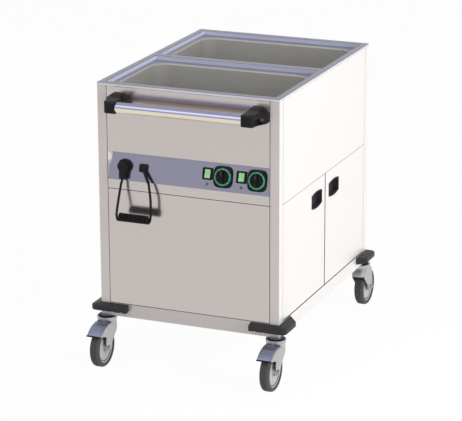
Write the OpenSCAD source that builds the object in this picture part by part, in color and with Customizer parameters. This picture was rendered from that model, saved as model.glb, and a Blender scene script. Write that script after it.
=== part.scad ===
// Two-well heated serving trolley: a sheet-steel cabinet on four swivel casters.
// x is the width, y the depth with the handle at the low end, z up.
// The origin is on the floor, under the middle of the cabinet.

/* [Cabinet] */
// Width of the cabinet
body_w = 590; // [570:1:700]
// Depth of the cabinet
body_d = 794; // [760:1:900]
// Height of the top rim above the floor
top_z = 900; // [860:1:980]
// Thickness of the outer sheet and of the wells
sheet = 1.5; // [1:0.1:2]
// Width of a corner post on the front and back
post_w = 29; // [24:1:40]
// Width of a corner post on the sides
post_d = 30; // [24:1:40]
// Dark gap that shows between two panels
seam = 2; // [1:0.5:3]
// Height of the base rail
rail_h = 42; // [32:1:50]
// Height of the seam between the doors and the upper side panel
split_z = 570.5; // [540:0.5:590]
// Width of the strip on a post that a panel lies against
strip_w = 12; // [8:1:16]
// Height of the folded edges behind the horizontal seams
fold_h = 14; // [8:1:20]

/* [Top and wells] */
// Thickness of the top rim's folded edge
top_t = 9.5; // [7:0.5:14]
// How far the top rim stands past the cabinet
top_over = 1; // [0.5:0.5:4]
// Width of the flat rim along the sides
rim_side = 20; // [16:1:24]
// Width of the flat rim along the front and back
rim_end = 21; // [16:1:26]
// Width of the flat bar between the wells
divider_w = 28; // [20:1:36]
// Depth of the step round each well
ledge_depth = 15; // [12:1:22]
// Width of a well's opening
well_w = 512; // [490:1:520]
// Length of a well's opening
well_d = 308; // [290:1:320]
// Depth of a well below its ledge
well_depth = 200; // [100:5:240]
// Corner radius of a well
well_r = 47; // [25:1:60]
// Thickness of the heating mat under a well
mat_t = 3; // [2:0.5:6]
// Margin between the heating mat and the edge of the well's floor
mat_margin = 40; // [30:1:60]

/* [Control panel] */
// Height of the sloping panel's lower edge
fascia_z = 600; // [590:1:620]
// Height of the sloping panel, measured upright
fascia_h = 88; // [84:1:100]
// How far the sloping panel's top edge lies back
fascia_in = 19; // [14:1:24]
// Width of the slanting cheek at each end of the recess
cheek_w = 12; // [8:1:16]
// Height of the controls' row along the slope
control_t = 43.5; // [42:0.5:46]
// Distance between the two sets of controls
control_pitch = 109.4; // [106:0.1:120]
// Distance from the panel's right end to the right thermostat
thermostat_in = 42.6; // [36:0.1:60]
// Width of a thermostat's bezel
bezel_w = 61; // [58:1:64]
// Height of a thermostat's bezel
bezel_h = 66; // [60:1:70]
// Thickness of a thermostat's bezel
bezel_t = 6; // [4:0.5:8]
// Corner radius of a thermostat's bezel
bezel_r = 15; // [8:1:20]
// Outer diameter of the dial ring
ring_d = 53; // [50:0.5:56]
// Diameter of a knob
knob_d = 42; // [36:1:46]
// Height of a knob's skirt
knob_h = 7; // [5:1:12]
// Height of a knob's grip bar above its skirt
grip_bar_h = 9; // [6:1:14]
// Diameter of a knob's shaft
shaft_d = 6; // [5:0.5:8]
// Diameter of a thermostat's body behind the panel
thermostat_body_d = 40; // [34:1:48]
// Length of a thermostat's body behind the panel
thermostat_body_l = 32; // [20:1:45]
// Distance from a thermostat to its switch
switch_dx = 50.3; // [49:0.1:54]
// Height of the switches above the controls' row
switch_dt = 4.9; // [2:0.1:6]
// Width of a switch's frame
switch_w = 34; // [30:1:36]
// Height of a switch's frame
switch_h = 37; // [34:1:42]
// Thickness of a switch's frame
switch_t = 3; // [2:0.5:4]
// Width of a rocker
rocker_w = 18; // [16:0.5:20]
// Length of a rocker
rocker_l = 27; // [24:0.5:28]
// Tilt of a rocker to either side
rocker_tilt = 8; // [5:1:10]
// Diameter of a rocker's pivot pin
rocker_pin_d = 3; // [2:0.5:4]

/* [Plug and cord] */
// Distance from the panel's left end to the parked plug
plug_in = 54; // [40:1:70]
// Distance from the parked plug to the cord outlet
outlet_dx = 62; // [56:1:68]
// Diameter of the parking socket
socket_d = 46; // [42:1:50]
// Thickness of the parking socket
socket_t = 8; // [6:0.5:10]
// Diameter of the plug's body
plug_d = 36; // [34:1:40]
// Thickness of the plug's body
plug_t = 13; // [10:1:18]
// Width of the plug's neck
plug_neck_w = 24; // [18:1:26]
// Length of the plug's neck below the body's middle
plug_neck_l = 39; // [34:1:42]
// Diameter of a plug's contact pin
contact_d = 4.8; // [4:0.1:5]
// Distance between the contact pins
contact_pitch = 19; // [18:1:20]
// Diameter of the cord
cord_d = 7.4; // [6.6:0.1:7.4]
// Outer diameter of the curly part
coil_d = 28.4; // [25:0.1:30]
// Distance from one curl to the next
coil_pitch = 8.1; // [7.9:0.1:8.6]
// Number of half curls
coil_half_turns = 25; // [21:2:27]

/* [Handle] */
// Diameter of the handle's tube
tube_d = 33; // [28:1:36]
// Wall of the handle's tube
tube_wall = 2; // [1.5:0.5:3]
// Distance from the cabinet's side to the end of the tube that shows
tube_in = 93; // [91:1:120]
// Distance from the top rim down to the tube's middle
handle_drop = 57; // [50:1:64]
// Distance from the front panel to the tube's middle
handle_out = 59; // [55:1:65]
// Width of a bracket's foot
foot_w = 52; // [48:1:54]
// Width of a bracket's head
head_w = 38; // [34:1:42]
// Depth of the seat that holds the tube
tube_seat = 24; // [16:1:28]
// Height of a bracket's foot
foot_h = 48; // [44:1:52]
// Diameter of the screw that holds a bracket
screw_d = 8; // [6:1:10]

/* [Doors] */
// Thickness of a door
door_t = 18; // [16:1:24]
// Gap under the doors
door_gap = 4; // [3:0.5:6]
// Distance from the door's face to its hinge line
hinge_in = 5; // [4.5:0.5:6]
// Distance from the door's edge to its hinge line
hinge_off = 11; // [11:0.5:14]
// Diameter of a hinge pin
hinge_pin_d = 6; // [4:0.5:6]
// Reach of a hinge pin into the door
hinge_pin_l = 12; // [8:1:20]
// Width of a recessed grip
grip_w = 89; // [80:1:100]
// Height of a recessed grip at its middle
grip_h = 52; // [46:1:60]
// Rise of the grip's curved top and bottom
grip_rise = 6; // [3:0.5:9]
// Depth of a recessed grip
grip_depth = 14; // [10:0.5:15]
// Height of the middle of the grips
grip_z = 506; // [480:1:520]
// Distance from the middle of the side to the middle of a grip
grip_y = 76.5; // [70:0.5:90]
// Width of the post behind the meeting of the doors
jamb_w = 30; // [24:1:40]

/* [Bumpers] */
// Height of a bumper
bumper_h = 24; // [18:1:26]
// Distance from a bumper's top to the rail's top
bumper_drop = 1; // [1:0.5:4]
// How far a bumper stands out at the front and back
bumper_out_y = 21; // [16:1:26]
// How far a bumper stands out at the sides
bumper_out_x = 29; // [20:1:32]
// Length of a bumper along the front or back
bumper_len_x = 92; // [80:1:120]
// Length of a bumper along the side
bumper_len_y = 97; // [80:1:120]
// Radius of a bumper's outer corner
bumper_r = 16; // [12:1:18]

/* [Casters] */
// Height of the casters, from the floor to the base rail
caster_h = 159; // [157:1:165]
// Diameter of a wheel
wheel_d = 125; // [115:1:125]
// Width of a tyre
tyre_w = 32; // [28:1:34]
// Thickness of a tyre
tyre_t = 13; // [12:1:20]
// Radius of a tyre's edge
tyre_r = 9; // [5:1:12]
// Distance from a wheel's axle to the caster's upright axis
trail = 40; // [36:1:42]
// Distance from the cabinet's side to the caster's upright axis
caster_in_x = 13.5; // [12:0.5:30]
// Distance from the cabinet's front to the caster's upright axis
caster_in_y = 9.5; // [8:0.5:30]
// Diameter of the fixed head
head_d = 46; // [40:1:50]
// Diameter of the swivelling head
fork_d = 62; // [60:1:70]
// Thickness of a fork's sheet
fork_t = 3; // [2.5:0.5:4]
// Gap between the tyre and a fork's leg
fork_gap = 4; // [3:0.5:6]
// Diameter of the kingpin
kingpin_d = 12; // [10:1:14]
// Diameter of an axle
axle_d = 8; // [8:1:10]
// Diameter of a hub
hub_d = 26; // [22:1:30]
// Radius of the brake pedal's hood round the wheel's middle
hood_r = 79; // [77:0.5:80]
// Thickness of the brake pedal's sheet
hood_t = 2; // [1.5:0.5:2.5]

/* [Clearances] */
// Gap round a shaft or pin that turns
run_gap = 0.05; // [0.03:0.01:0.1]
// Gap round a part that moves in a pocket or past its neighbour
move_gap = 0.4; // [0.3:0.05:0.6]
// Gap round a part that is pushed into its hole
fit_gap = 0.2; // [0.1:0.05:0.4]

/* [Hidden] */
$fn = 64;
EPS = 0.01;

STEEL = "#C6C3C0";
STEEL_BLUE = "#A3A4B4";
BLACK = "#232326";
GREY_PLASTIC = "#4A4A48";
GREEN = "#8CCB8C";
TEAL = "#3F9C80";
ZINC = "#BDBFC4";

function unit(v) = v / norm(v);

// Half sizes of the cabinet and its main heights
hx = body_w / 2;
hy = body_d / 2;
base_z = caster_h;
base_top = base_z + rail_h;
panel_top = top_z - top_t;
lower_z0 = base_top + seam;
lower_z1 = split_z - seam / 2;
upper_z0 = split_z + seam / 2;
inner_x = hx - post_w;
inner_y = hy - post_d;
panel_x = inner_x - seam;
panel_y = inner_y - seam;
door_z0 = base_top + door_gap;
door_z1 = lower_z1;
deck_z = upper_z0 + 0.5;

// The sloping control panel: its tilt from upright and its frame
fascia_tilt = atan(fascia_in / fascia_h);
fascia_top_z = fascia_z + fascia_h;
function fascia_point(x, t, h) = [
  x,
  -hy + t * sin(fascia_tilt) - h * cos(fascia_tilt),
  fascia_z + t * cos(fascia_tilt) + h * sin(fascia_tilt)
];

// The controls
function thermostat_at(i) = panel_x - thermostat_in - (1 - i) * control_pitch;
function switch_at(i) = thermostat_at(i) - switch_dx;
plug_x = -panel_x + plug_in;
outlet_x = plug_x + outlet_dx;
switch_body_w = switch_w - 8;
switch_body_h = switch_h - 6;
switch_body_l = 22;
outlet_w = 27;
outlet_h = 26;
outlet_t = 8;
outlet_thread_d = 20;
outlet_nut_t = 5;
socket_body_d = 38;
socket_body_l = 16;
ring_h = 2;
rocker_rise = 4.5;
rocker_drop = 5;
rocker_dip = 1.2;
pivot_reach = 2.2;
shaft_l = 20;
contact_l = 19;

// The plug's neck and the cord outlet's sleeve
neck_depth = 15;
neck_h = socket_t + neck_depth / 2;
sleeve_d1 = 12.4;
sleeve_d2 = 9.4;
sleeve_start = fascia_point(outlet_x, control_t, 5);
sleeve_end = [outlet_x + 26, -hy - 17, fascia_z + 4];
sleeve_dir = unit(sleeve_end - sleeve_start);

// The curly cord: a helix along x that starts at the left on its front side
coil_r = (coil_d - cord_d) / 2;
coil_out_y = 42;
coil_drop = 104;
coil_start = [plug_x - 2, -hy - coil_out_y, fascia_z - coil_drop];
coil_rings = 8;
coil_steps = coil_half_turns * coil_rings / 2;
coil_sides = 6;
function coil_point(i) = coil_start + [
  coil_pitch * i / coil_rings,
  -coil_r * cos(360 * i / coil_rings),
  -coil_r * sin(360 * i / coil_rings)
];
function coil_dir(i) = unit([
  coil_pitch / (2 * PI),
  coil_r * sin(360 * i / coil_rings),
  -coil_r * cos(360 * i / coil_rings)
]);
coil_in = coil_point(0) - cord_d * coil_dir(0);
coil_out = coil_point(coil_steps) + cord_d * coil_dir(coil_steps);
coil_path = [coil_in, each [for (i = [0:coil_steps]) coil_point(i)], coil_out];
coil_dirs = [coil_dir(0), each [for (i = [0:coil_steps]) coil_dir(i)], coil_dir(coil_steps)];

// The free stretches of the cord, through points chosen by hand
tail_sides = 10;
tail_steps = 3;
neck_down = unit(fascia_point(0, -1, 0) - fascia_point(0, 0, 0));
plug_route = [
  fascia_point(plug_x, control_t - plug_neck_l, neck_h),
  [plug_x, -hy - 23, fascia_z - 5],
  [plug_x - 2, -hy - 30, fascia_z - 30],
  [plug_x - 3, -hy - 39, fascia_z - 55],
  [plug_x - 3, -hy - 48, fascia_z - 78],
  coil_in
];
outlet_route = [
  sleeve_end,
  [outlet_x + 31, -hy - 22, fascia_z - 12],
  [outlet_x + 36, -hy - 27, fascia_z - 34],
  [outlet_x + 39, -hy - 31, fascia_z - 56],
  [outlet_x + 39, -hy - 32, fascia_z - 78],
  coil_out
];

// The wells
recess_w = body_w - 2 * rim_side;
recess_d = (body_d - 2 * rim_end - divider_w) / 2;
well_y = (recess_d + divider_w) / 2;
ledge_z = top_z - ledge_depth;
well_floor_z = ledge_z - well_depth;

// The handle
handle_y = -hy - handle_out;
handle_z = top_z - handle_drop;
bracket_in = hx - tube_in;
bracket_out = bracket_in + head_w;
foot_in = bracket_in + 8;
foot_out = foot_in + foot_w;
screw_x = foot_out - 16;
screw_z = handle_z - 5;
screw_seat = 11;

// The hinges
hinge_x = hx - hinge_in;
hinge_y = panel_y - hinge_off;

// The casters
wheel_z = wheel_d / 2;
caster_x = hx - caster_in_x;
caster_y = hy - caster_in_y;
leg_in = tyre_w / 2 + fork_gap;
leg_out = leg_in + fork_t;
fork_top_z = base_z - 13;
fork_low_z = fork_top_z - 5;
fork_r = fork_d / 2;
plate_t = 5;
pedal_u = 18;
pedal_z = fork_low_z - 10;
pedal_low_z = fork_low_z - 25;
pedal_pin_d = 5;

// Corners of the cabinet: [side along x, side along y]
CORNERS = [[-1, -1], [1, -1], [-1, 1], [1, 1]];

// ---- helpers ----

// A box given by its lowest and highest corners
module box(a, b) {
  translate(a) cube(b - a);
}

// A flat rectangle with round corners, centred
module round_rect(w, l, r) {
  square([w - 2 * r, l], center = true);
  square([w, l - 2 * r], center = true);
  for (sx = [-1, 1], sy = [-1, 1])
    translate([sx * (w / 2 - r), sy * (l / 2 - r)]) circle(r);
}

// Mirrors its children to one side of x and of y
module to_side(sx, sy) {
  scale_x = sx < 0 ? [1, 0, 0] : [0, 0, 0];
  scale_y = sy < 0 ? [0, 1, 0] : [0, 0, 0];
  mirror(scale_x) mirror(scale_y) children();
}

// Extrudes an outline in y and z across, from one x to another
module side_extrude(x0, x1) {
  translate([x0, 0, 0]) rotate([90, 0, 90]) linear_extrude(x1 - x0) children();
}

// A round hole through a thin sheet
module bore(d) {
  translate([0, 0, -10]) cylinder(d = d, h = 20);
}

// Places its children on the sloping panel: x across, y up the slope, z outward
module on_fascia(x, t) {
  translate([x, -hy, fascia_z]) rotate([90 - fascia_tilt, 0, 0]) translate([0, t, 0]) children();
}

// ---- cabinet ----

// One corner post in the corner where x and y are high, with the strips behind its seams.
// Its inner walls make room for the well's ledge
module post(end_strips, side_strip_z0) {
  inner_top = ledge_z - 2 * sheet;
  well_x = hx - rim_side + sheet;
  well_end_y = hy - rim_end + sheet;
  difference() {
    box([inner_x, inner_y, base_top], [hx, hy, panel_top]);
    box([inner_x + sheet, inner_y + sheet, base_top - 1], [hx - sheet, hy - sheet, panel_top + 1]);
    box([inner_x - 1, inner_y - 1, inner_top], [well_x + sheet, well_end_y + sheet, panel_top + 1]);
  }
  end_y = hy - sheet;
  side_x = hx - sheet;
  for (z = end_strips) box([inner_x - strip_w, end_y - sheet, z[0]], [inner_x, end_y, z[1]]);
  box([side_x - sheet, inner_y - strip_w, side_strip_z0], [side_x, inner_y, panel_top]);
}

module corner_posts() {
  front_strips = [[base_top, fascia_z - seam], [fascia_top_z + 2 * seam, panel_top]];
  back_strips = [[base_top, panel_top]];
  color(STEEL)
  for (c = CORNERS) {
    end_strips = c[1] < 0 ? front_strips : back_strips;
    side_strip_z0 = c[0] > 0 ? deck_z + sheet : base_top;
    to_side(c[0], c[1]) post(end_strips, side_strip_z0);
  }
}

// The base: a floor sheet with rails folded down, corner plates and folds behind the panels
module base_tray() {
  rail_t = 2;
  rail_x = hx - rail_t;
  rail_y = hy - rail_t;
  lip_x = hx - 22;
  lip_y = hy - 22;
  plate_w = 116;
  fold_x = inner_x - strip_w;
  fold_y = inner_y - strip_w;
  fold_top = base_top + fold_h;
  color(STEEL)
  difference() {
    union() {
      difference() {
        box([-hx, -hy, base_z], [hx, hy, base_top]);
        box([-rail_x, -rail_y, base_z + rail_t], [rail_x, rail_y, base_top - sheet]);
        box([-lip_x, -lip_y, base_z - 1], [lip_x, lip_y, base_z + rail_t + 1]);
      }
      for (c = CORNERS)
        to_side(c[0], c[1])
          box([rail_x - plate_w, rail_y - plate_w, base_z], [rail_x, rail_y, base_z + plate_t]);
      for (sy = [-1, 1])
        to_side(1, sy) box([-fold_x, hy - 2 * sheet, base_top - EPS], [fold_x, hy - sheet, fold_top]);
      box([-hx + sheet, -fold_y, base_top - EPS], [-hx + 2 * sheet, fold_y, fold_top]);
    }
    for (c = CORNERS)
      translate([c[0] * caster_x, c[1] * caster_y, base_z - 1])
        cylinder(d = kingpin_d + 2 * fit_gap, h = plate_t + 2);
  }
}

// The deck over the cabinet space, with folds behind the front and rear seams
module cabinet_ceiling() {
  span_x = hx - sheet;
  span_y = hy - sheet;
  clear_x = inner_x - strip_w;
  clear_y = inner_y - strip_w;
  color(STEEL) {
    translate([0, 0, deck_z]) linear_extrude(sheet) {
      square([2 * span_x, 2 * clear_y], center = true);
      square([2 * (span_x - sheet), 2 * inner_y], center = true);
      square([2 * clear_x, 2 * span_y], center = true);
      square([2 * inner_x, 2 * (span_y - sheet)], center = true);
    }
    for (sy = [-1, 1])
      to_side(1, sy) box([-clear_x, span_y - sheet, deck_z - fold_h], [clear_x, span_y, deck_z]);
  }
}

// The post behind the meeting edges of the doors
module door_jamb() {
  x1 = hx - door_t - move_gap;
  x0 = x1 - jamb_w;
  half = jamb_w / 2;
  color(STEEL)
  difference() {
    box([x0, -half, base_top], [x1, half, deck_z]);
    box([x0 + sheet, -half + sheet, base_top - 1], [x1 - sheet, half - sheet, deck_z + 1]);
  }
}

module side_panel_left() {
  color(STEEL) box([-hx, -panel_y, lower_z0], [-hx + sheet, panel_y, panel_top]);
}

module side_panel_right() {
  color(STEEL) box([hx - sheet, -panel_y, upper_z0], [hx, panel_y, panel_top]);
}

module rear_panel() {
  color(STEEL) box([-panel_x, hy - sheet, lower_z0], [panel_x, hy, panel_top]);
}

module front_panel_lower() {
  color(STEEL) box([-panel_x, -hy, lower_z0], [panel_x, -hy + sheet, lower_z1]);
}

// The upper front panel: a sheet with its lower edge folded back over the controls
module front_panel_upper() {
  color(STEEL)
  difference() {
    union() {
      box([-panel_x, -hy, fascia_top_z], [panel_x, -hy + sheet, panel_top]);
      box([-panel_x, -hy, fascia_top_z], [panel_x, -hy + fascia_in + 2 * sheet, fascia_top_z + sheet]);
    }
    for (sx = [-1, 1])
      translate([sx * screw_x, -hy - 1, screw_z]) rotate([-90, 0, 0])
        cylinder(d = screw_d + 2 * fit_gap, h = sheet + 2);
  }
}

// Outline of the control panel in y and z: an upright strip, then the slope
fascia_outline = [
  [-hy, upper_z0],
  [-hy, fascia_z],
  [-hy + fascia_in, fascia_top_z],
  [-hy + fascia_in + sheet / cos(fascia_tilt), fascia_top_z],
  [-hy + sheet, fascia_z - sheet * tan(fascia_tilt / 2)],
  [-hy + sheet, upper_z0]
];

// One end cheek of the control recess, at the high end of x: a wedge outside a slanting upright plane
module cheek() {
  slant = atan(cheek_w / fascia_in);
  intersection() {
    side_extrude(-panel_x, panel_x)
      polygon([[-hy, fascia_z], [-hy + fascia_in, fascia_top_z], [-hy, fascia_top_z]]);
    translate([panel_x, -hy, fascia_z]) rotate([0, 0, slant])
      translate([0, -EPS, -1]) cube([3 * cheek_w, 3 * fascia_in, fascia_h + 2]);
  }
}

module control_panel() {
  color(STEEL_BLUE) {
    difference() {
      side_extrude(-panel_x, panel_x) polygon(fascia_outline);
      for (i = [0, 1]) {
        on_fascia(thermostat_at(i), control_t) bore(thermostat_body_d + 2 * fit_gap);
        on_fascia(switch_at(i), control_t + switch_dt)
          cube([switch_body_w + 2 * fit_gap, switch_body_h + 2 * fit_gap, 20], center = true);
      }
      on_fascia(outlet_x, control_t) bore(outlet_thread_d + 2 * fit_gap);
      on_fascia(plug_x, control_t) bore(socket_body_d + 2 * fit_gap);
    }
    for (sx = [-1, 1]) to_side(sx, 1) cheek();
  }
}

// ---- top ----

module top_plate() {
  color(STEEL_BLUE)
  translate([0, 0, panel_top]) linear_extrude(top_t) difference() {
    square([body_w + 2 * top_over, body_d + 2 * top_over], center = true);
    for (sy = [-1, 1]) translate([0, sy * well_y]) square([recess_w, recess_d], center = true);
  }
}

// A well: a ledge with an upstand that meets the top plate, and a deep tub
module well(sy) {
  wall = 2 * sheet;
  color(STEEL)
  translate([0, sy * well_y, 0]) {
    translate([0, 0, ledge_z]) linear_extrude(panel_top - ledge_z) difference() {
      square([recess_w + wall, recess_d + wall], center = true);
      square([recess_w, recess_d], center = true);
    }
    translate([0, 0, ledge_z - sheet]) linear_extrude(sheet) difference() {
      square([recess_w + wall, recess_d + wall], center = true);
      round_rect(well_w, well_d, well_r);
    }
    translate([0, 0, well_floor_z]) linear_extrude(well_depth - sheet + EPS) difference() {
      round_rect(well_w + wall, well_d + wall, well_r + sheet);
      round_rect(well_w, well_d, well_r);
    }
    translate([0, 0, well_floor_z - sheet]) linear_extrude(sheet + EPS)
      round_rect(well_w + wall, well_d + wall, well_r + sheet);
  }
}

module well_front() { well(-1); }
module well_rear() { well(1); }

module heating_mats() {
  color("#B5562C")
  for (sy = [-1, 1])
    translate([0, sy * well_y, well_floor_z - sheet - mat_t]) linear_extrude(mat_t)
      round_rect(well_w - 2 * mat_margin, well_d - 2 * mat_margin, well_r / 2);
}

// ---- handle ----

module handle_tube() {
  len = 2 * (bracket_in + tube_seat);
  color(ZINC)
  translate([-len / 2, handle_y, handle_z]) rotate([0, 90, 0]) difference() {
    cylinder(d = tube_d, h = len);
    translate([0, 0, -1]) cylinder(d = tube_d - 2 * tube_wall, h = len + 2);
  }
}

// A bracket: its outlines from above, from the side and from the front, crossed
module handle_bracket(sx) {
  front_y = handle_y - tube_d / 2 - 2.5;
  low_z = handle_z - tube_d / 2 - 2;
  high_z = handle_z + tube_d / 2 + 3;
  foot_top = low_z + foot_h;
  chamfer = [22, 16];
  seat_y = -hy - screw_seat;
  screw_head_d = 2 * screw_d + 2;
  plan = [
    [bracket_in, front_y], [bracket_out - 6, front_y], [bracket_out, front_y + 8],
    [bracket_out + 3, handle_y + 10], [foot_out - 6, -hy - 20], [foot_out, -hy - 8], [foot_out, -hy],
    [foot_in, -hy], [foot_in, -hy - 16], [bracket_in, handle_y + tube_d / 2 + 6]
  ];
  side = [
    [-hy, low_z + 2], [-hy, foot_top - 6], [-hy - 4, foot_top], [-hy - 12, foot_top - 1],
    [-hy - 32, high_z], [front_y + 7, high_z], [front_y, high_z - 8], [front_y, low_z + 5],
    [front_y + 5, low_z], [-hy - 20, low_z]
  ];
  front = [
    [bracket_in, low_z], [foot_out, low_z], [foot_out, foot_top - chamfer[1]],
    [foot_out - chamfer[0], foot_top], [bracket_in, foot_top]
  ];
  color(BLACK)
  to_side(sx, 1) difference() {
    intersection() {
      translate([0, 0, low_z - 1]) linear_extrude(foot_h + 2) polygon(plan);
      side_extrude(0, foot_out + 1) polygon(side);
      translate([0, -hy, 0]) rotate([90, 0, 0]) linear_extrude(-front_y - hy) polygon(front);
    }
    translate([bracket_in - 1, handle_y, handle_z]) rotate([0, 90, 0])
      cylinder(d = tube_d, h = tube_seat + 1);
    translate([screw_x, front_y - 1, screw_z]) rotate([-90, 0, 0])
      cylinder(d = screw_head_d, h = seat_y - front_y + 1);
    translate([screw_x, seat_y - 1, screw_z]) rotate([-90, 0, 0])
      cylinder(d = screw_d + 2 * fit_gap, h = screw_seat + 2);
  }
}

module handle_bracket_left() { handle_bracket(-1); }
module handle_bracket_right() { handle_bracket(1); }

// Socket-head screws with nuts behind the panel
module handle_screws() {
  behind = screw_seat + sheet;
  nut_h = 6;
  color(ZINC)
  for (sx = [-1, 1])
    translate([sx * screw_x, -hy - screw_seat, screw_z]) rotate([-90, 0, 0]) difference() {
      union() {
        translate([0, 0, -screw_d]) cylinder(d = 1.6 * screw_d, h = screw_d);
        cylinder(d = screw_d, h = behind + nut_h + 2);
        translate([0, 0, behind]) cylinder(d = 1.8 * screw_d, h = nut_h);
      }
      translate([0, 0, -screw_d - 1]) cylinder(d = 0.75 * screw_d, h = screw_d / 2 + 1, $fn = 6);
    }
}

// ---- bumpers ----

// An L round a corner of the cabinet, with a round outer corner and a slanting end at the side
module bumper(sx, sy) {
  out_x = hx + bumper_out_x;
  out_y = hy + bumper_out_y;
  end_x = hx - bumper_len_x;
  end_y = hy - bumper_len_y;
  color(GREY_PLASTIC)
  translate([0, 0, base_top - bumper_drop - bumper_h]) linear_extrude(bumper_h)
    to_side(sx, sy) difference() {
      union() {
        polygon([
          [end_x, end_y], [hx, end_y], [out_x, end_y + bumper_out_x], [out_x, out_y - bumper_r],
          [out_x - bumper_r, out_y], [end_x, out_y]
        ]);
        translate([out_x - bumper_r, out_y - bumper_r]) circle(bumper_r);
      }
      translate([end_x - 1, end_y - 1]) square([bumper_len_x + 1, bumper_len_y + 1]);
    }
}

module bumper_front_left() { bumper(-1, -1); }
module bumper_front_right() { bumper(1, -1); }
module bumper_rear_left() { bumper(-1, 1); }
module bumper_rear_right() { bumper(1, 1); }

// ---- controls ----

module thermostat(i) {
  on_fascia(thermostat_at(i), control_t) {
    color(BLACK) difference() {
      union() {
        linear_extrude(bezel_t) round_rect(bezel_w, bezel_h, bezel_r);
        translate([0, 0, -thermostat_body_l]) cylinder(d = thermostat_body_d, h = thermostat_body_l + 1);
      }
      translate([0, 0, bezel_t - shaft_l]) cylinder(d = shaft_d + 2 * run_gap, h = shaft_l + 1);
    }
    color(TEAL) translate([0, 0, bezel_t]) difference() {
      cylinder(d = ring_d, h = ring_h);
      translate([0, 0, -1]) cylinder(d = knob_d + 2 * move_gap, h = ring_h + 2);
    }
  }
}

module thermostat_left() { thermostat(0); }
module thermostat_right() { thermostat(1); }

// A knob: a round skirt with a grip bar across it, on a shaft
module knob(i) {
  grip_bar_w = 13;
  color(BLACK)
  on_fascia(thermostat_at(i), control_t) translate([0, 0, bezel_t + move_gap]) {
    cylinder(d = knob_d, h = knob_h);
    translate([0, 0, knob_h - 1]) intersection() {
      cylinder(d = knob_d, h = grip_bar_h + 1);
      translate([0, 0, grip_bar_h / 2]) cube([grip_bar_w, knob_d, grip_bar_h + 2], center = true);
    }
    translate([0, 0, 1 - shaft_l]) cylinder(d = shaft_d, h = shaft_l);
  }
}

module knob_left() { knob(0); }
module knob_right() { knob(1); }

// A switch housing: a frame and a body with a pocket and bores for the rocker's pivot
module switch_housing(i) {
  pocket_w = rocker_w + 2 * move_gap;
  pocket_l = rocker_l + 2 * move_gap;
  pocket_z = -rocker_drop - rocker_l / 2 * sin(rocker_tilt) - move_gap;
  color(BLACK)
  on_fascia(switch_at(i), control_t + switch_dt) difference() {
    union() {
      linear_extrude(switch_t) round_rect(switch_w, switch_h, 4);
      translate([-switch_body_w / 2, -switch_body_h / 2, -switch_body_l])
        cube([switch_body_w, switch_body_h, switch_body_l + 1]);
    }
    translate([-pocket_w / 2, -pocket_l / 2, pocket_z]) cube([pocket_w, pocket_l, switch_t - pocket_z + 1]);
    rocker_axis(rocker_pin_d + 2 * run_gap, pocket_w + 2 * pivot_reach + fit_gap);
  }
}

// A cylinder on the rocker's pivot line
module rocker_axis(d, l) {
  translate([-l / 2, 0, 0]) rotate([0, 90, 0]) cylinder(d = d, h = l);
}

module switch_left() { switch_housing(0); }
module switch_right() { switch_housing(1); }

// A rocker, tilted to its off side, with a shallow V in its face and a pin at each side
module rocker(i) {
  half = rocker_l / 2;
  color(GREEN)
  on_fascia(switch_at(i), control_t + switch_dt) rotate([-rocker_tilt, 0, 0]) {
    side_extrude(-rocker_w / 2, rocker_w / 2) intersection() {
      circle(half);
      polygon([
        [-half, -rocker_drop], [-half, rocker_rise], [0, rocker_rise - rocker_dip], [half, rocker_rise],
        [half, -rocker_drop]
      ]);
    }
    rocker_axis(rocker_pin_d, rocker_w + 2 * move_gap + 2 * pivot_reach);
  }
}

module rocker_left() { rocker(0); }
module rocker_right() { rocker(1); }

// ---- plug and cord ----

// The two contacts' places, as cylinders behind a given height
module contacts(d, l) {
  for (sx = [-1, 1])
    translate([sx * contact_pitch / 2, 0, socket_t - l]) cylinder(d = d, h = l + EPS);
}

module parking_socket() {
  color(BLACK)
  on_fascia(plug_x, control_t) difference() {
    union() {
      cylinder(d = socket_d, h = socket_t);
      translate([0, 0, -socket_body_l]) cylinder(d = socket_body_d, h = socket_body_l + 1);
    }
    contacts(contact_d + 2 * fit_gap, contact_l + 1);
  }
}

module plug() {
  crown_h = 6;
  on_fascia(plug_x, control_t) {
    color(BLACK) {
      translate([0, 0, socket_t]) cylinder(d = plug_d, h = plug_t);
      translate([0, 0, socket_t + plug_t]) cylinder(d1 = plug_d, d2 = plug_d - 2 * crown_h, h = crown_h);
      rotate([90, 0, 0]) linear_extrude(plug_neck_l)
        translate([0, neck_h]) round_rect(plug_neck_w, neck_depth, 6);
    }
    color(ZINC) contacts(contact_d, contact_l);
  }
}

// A threaded outlet with a flange, a nut behind the panel and a tapered sleeve that guides the cord
module cord_outlet() {
  color(BLACK) {
    on_fascia(outlet_x, control_t) {
      linear_extrude(outlet_t) round_rect(outlet_w, outlet_h, 5);
      translate([0, 0, -12]) cylinder(d = outlet_thread_d, h = 13);
      translate([0, 0, -sheet - outlet_nut_t]) cylinder(d = outlet_thread_d + 8, h = outlet_nut_t);
    }
    translate(sleeve_start) rotate([0, acos(sleeve_dir[2]), atan2(sleeve_dir[1], sleeve_dir[0])])
      cylinder(d1 = sleeve_d1, d2 = sleeve_d2, h = norm(sleeve_end - sleeve_start));
  }
}

// A ring of points round p, square to the direction d
function ring(p, d, r, sides) = let(u = unit(cross(d, [1, 0, 0])), v = cross(d, u))
  [for (k = [0:sides - 1]) p + r * (cos(360 * k / sides) * u + sin(360 * k / sides) * v)];

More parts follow.
